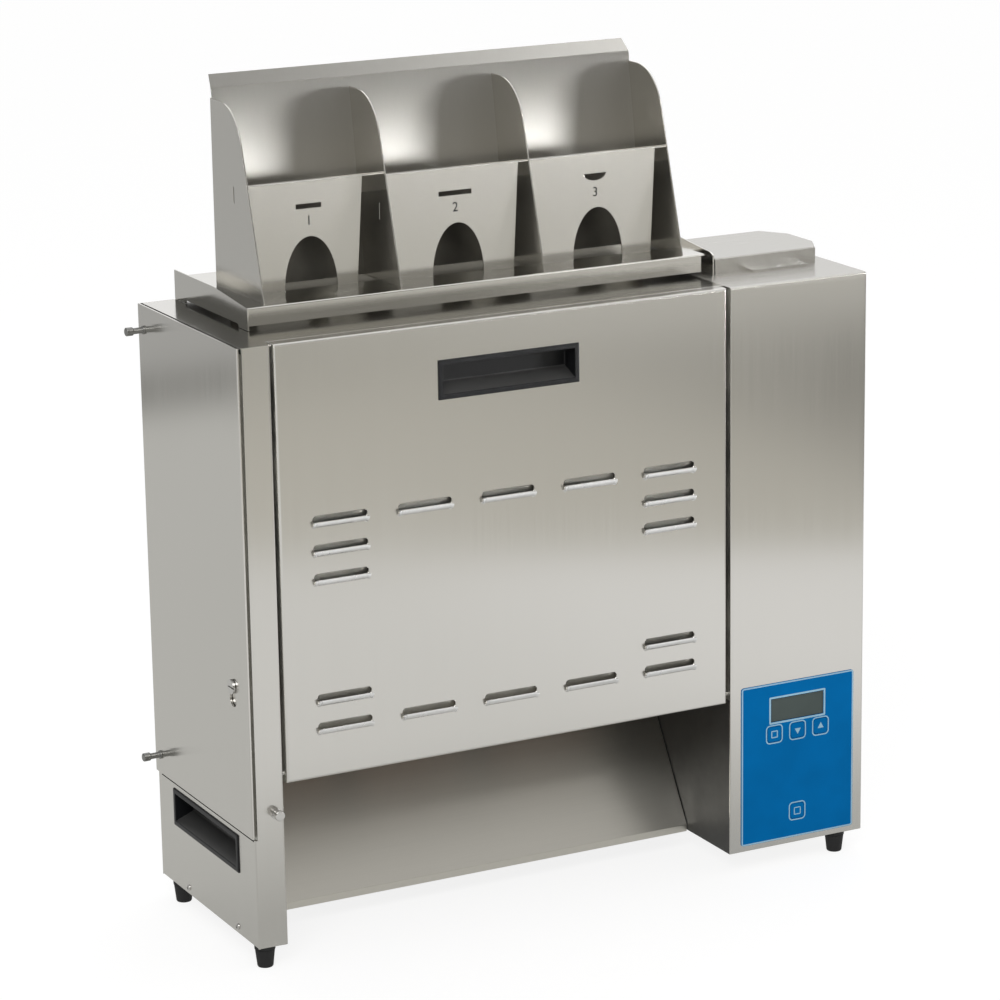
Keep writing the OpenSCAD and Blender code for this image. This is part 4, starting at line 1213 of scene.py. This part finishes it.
def studio_floor():
    """White for the camera. The steel mirrors a floor with bands of other tones, with painted
    shadow near the object and beyond a slanting line.
    """
    bpy.ops.object.select_all(action="DESELECT")
    bpy.ops.mesh.primitive_plane_add(size=24, location=(0, 0, 0))
    floor = bpy.context.object
    floor.name = "studio_floor"
    material = bpy.data.materials.new("pale_studio_floor")
    tree, axes = empty_tree(material, "Object")
    across, along = axes["X"], axes["Y"]
    # white in front of the object, grey below and behind it, the grey near its base a painted
    # shadow, with a dark band far behind
    tones = tree.nodes.new("ShaderNodeValToRGB")
    stops = tones.color_ramp.elements
    for y, colour in FLOOR_TONES:
        stops.new((y - FLOOR_START) / (FLOOR_END - FLOOR_START)).color = (*colour, 1)
    stops.remove(stops[0])
    stops.remove(stops[-1])
    tree.links.new(add_range(tree, along, FLOOR_START, FLOOR_END), tones.inputs["Fac"])

    def step(value, start, end):
        return add_range(tree, value, start, end, smooth=True)

    # the near part is a little greyer at the left, and the far part darker to the right, apart
    # from a last strip; the dark far part is a painted shadow, and near and far meet on its
    # slanting edge
    near = add_mix(
        tree, step(across, 0.6, 0.15), tones.outputs["Color"], (0.87, 0.87, 0.86), "MULTIPLY"
    )
    far = add_mix(tree, step(across, 0.9, 1.25), (0.64, 0.622, 0.57), (0.3, 0.295, 0.275))
    last = add_mix(tree, step(across, 0.78, 1.05), (0.48, 0.47, 0.43), (0.72, 0.71, 0.675))
    slant = tree.nodes.new("ShaderNodeMath")
    slant.operation = "MULTIPLY_ADD"
    slant.inputs[1].default_value = -0.5
    tree.links.new(across, slant.inputs[0])
    tree.links.new(along, slant.inputs[2])
    far = add_mix(tree, step(along, -1.88, -2.0), far, last)
    tone = add_mix(tree, step(slant.outputs[0], -1.38, -1.26), far, near)
    mirrored = add_shader_mix(
        tree,
        0.6,
        add_shader(tree, "ShaderNodeBsdfDiffuse", tone),
        add_shader(tree, "ShaderNodeEmission", tone),
    )
    seen = add_shader_mix(
        tree,
        0.75,
        add_shader(tree, "ShaderNodeBsdfDiffuse", (0.93, 0.93, 0.93)),
        add_shader(tree, "ShaderNodeEmission", (1, 1, 1), 1.12),
    )
    show(tree, "ShaderNodeOutputMaterial", mirrored, seen)
    floor.data.materials.append(material)
    floor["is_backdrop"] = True


def studio_world():
    """A pale room: white for the camera, bright above and behind, dimmer in front."""
    world = bpy.data.worlds.new("studio")
    bpy.context.scene.world = world
    tree, axes = empty_tree(world, "Generated")
    behind = add_range(tree, axes["Y"], -0.9, 0.7)
    front = add_mix(
        tree, add_range(tree, axes["Z"], 0.02, 0.16), (0.42, 0.4, 0.35), (0.25, 0.245, 0.23)
    )
    walls = add_mix(tree, behind, front, (0.97, 0.97, 0.97))
    room = add_mix(tree, add_range(tree, axes["Z"], 0.45, 0.95), walls, (0.95, 0.95, 0.95))
    # a dark flag stands behind to the left, above the horizon
    flag = add_product(
        tree, add_range(tree, axes["X"], -0.12, -0.3), add_range(tree, axes["Z"], 0.02, 0.1)
    )
    dimmed = add_mix(tree, add_product(tree, flag, behind), room, (0.1, 0.1, 0.095))
    show(
        tree,
        "ShaderNodeOutputWorld",
        add_shader(tree, "ShaderNodeBackground", dimmed),
        add_shader(tree, "ShaderNodeBackground", (1, 1, 1)),
    )


def soft_lamp(name, place, target, size, watts, beam=180):
    """An area lamp that the camera doesn't see. The beam is its spread in degrees."""
    bpy.ops.object.select_all(action="DESELECT")
    bpy.ops.object.light_add(type="AREA", location=place)
    lamp = bpy.context.object
    lamp.name = name
    lamp.data.shape = "RECTANGLE"
    lamp.data.size, lamp.data.size_y = size
    lamp.data.energy = watts
    lamp.data.spread = math.radians(beam)
    lamp.visible_camera = False
    aim = Vector(target) - Vector(place)
    lamp.rotation_euler = aim.to_track_quat("-Z", "Y").to_euler()


def studio_camera():
    """A long lens from the front left, placed by its three angles in radians."""
    azimuth, elevation, roll = 0.4761909, 0.2598977, -0.0154489
    data = bpy.data.cameras.new("camera")
    data.sensor_width = 36
    data.lens = 134.9177
    data.clip_end = 100
    camera = bpy.data.objects.new("camera", data)
    bpy.context.scene.collection.objects.link(camera)
    ahead = Vector(
        (
            math.sin(azimuth) * math.cos(elevation),
            math.cos(azimuth) * math.cos(elevation),
            -math.sin(elevation),
        )
    )
    level = ahead.cross(Vector((0, 0, 1))).normalized()
    above = level.cross(ahead)
    c, s = math.cos(roll), math.sin(roll)
    right = c * level + s * above
    up = -s * level + c * above
    pose = Matrix((right, up, -ahead)).transposed().to_4x4()
    pose.translation = Vector((-1.379738, -2.66908, 1.128217))
    camera.matrix_world = pose
    bpy.context.scene.camera = camera


studio_floor()
studio_world()
soft_lamp("key_lamp", (-1.6, -1.9, 2.3), (0, 0, 0.3), (1.4, 1.4), 26)
soft_lamp("back_lamp", (1.2, 1.6, 2.2), (0, 0, 0.4), (1.6, 1.0), 3)
soft_lamp("side_card", (1.6, -1.35, 0.54), (-0.52, 0.05, 0.66), (0.8, 0.36), 1.15, 26)
soft_lamp("rim_card", (1.05, -1.35, 1.4), (0.35, 0.05, 0.7), (0.5, 0.4), 0.08, 30)
studio_camera()
bpy.context.scene.view_settings.view_transform = "Standard"

low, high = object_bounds()
({
        "cad": [list(cad_low), list(cad_high)],
        "visual": [list(low), list(high)],
    })
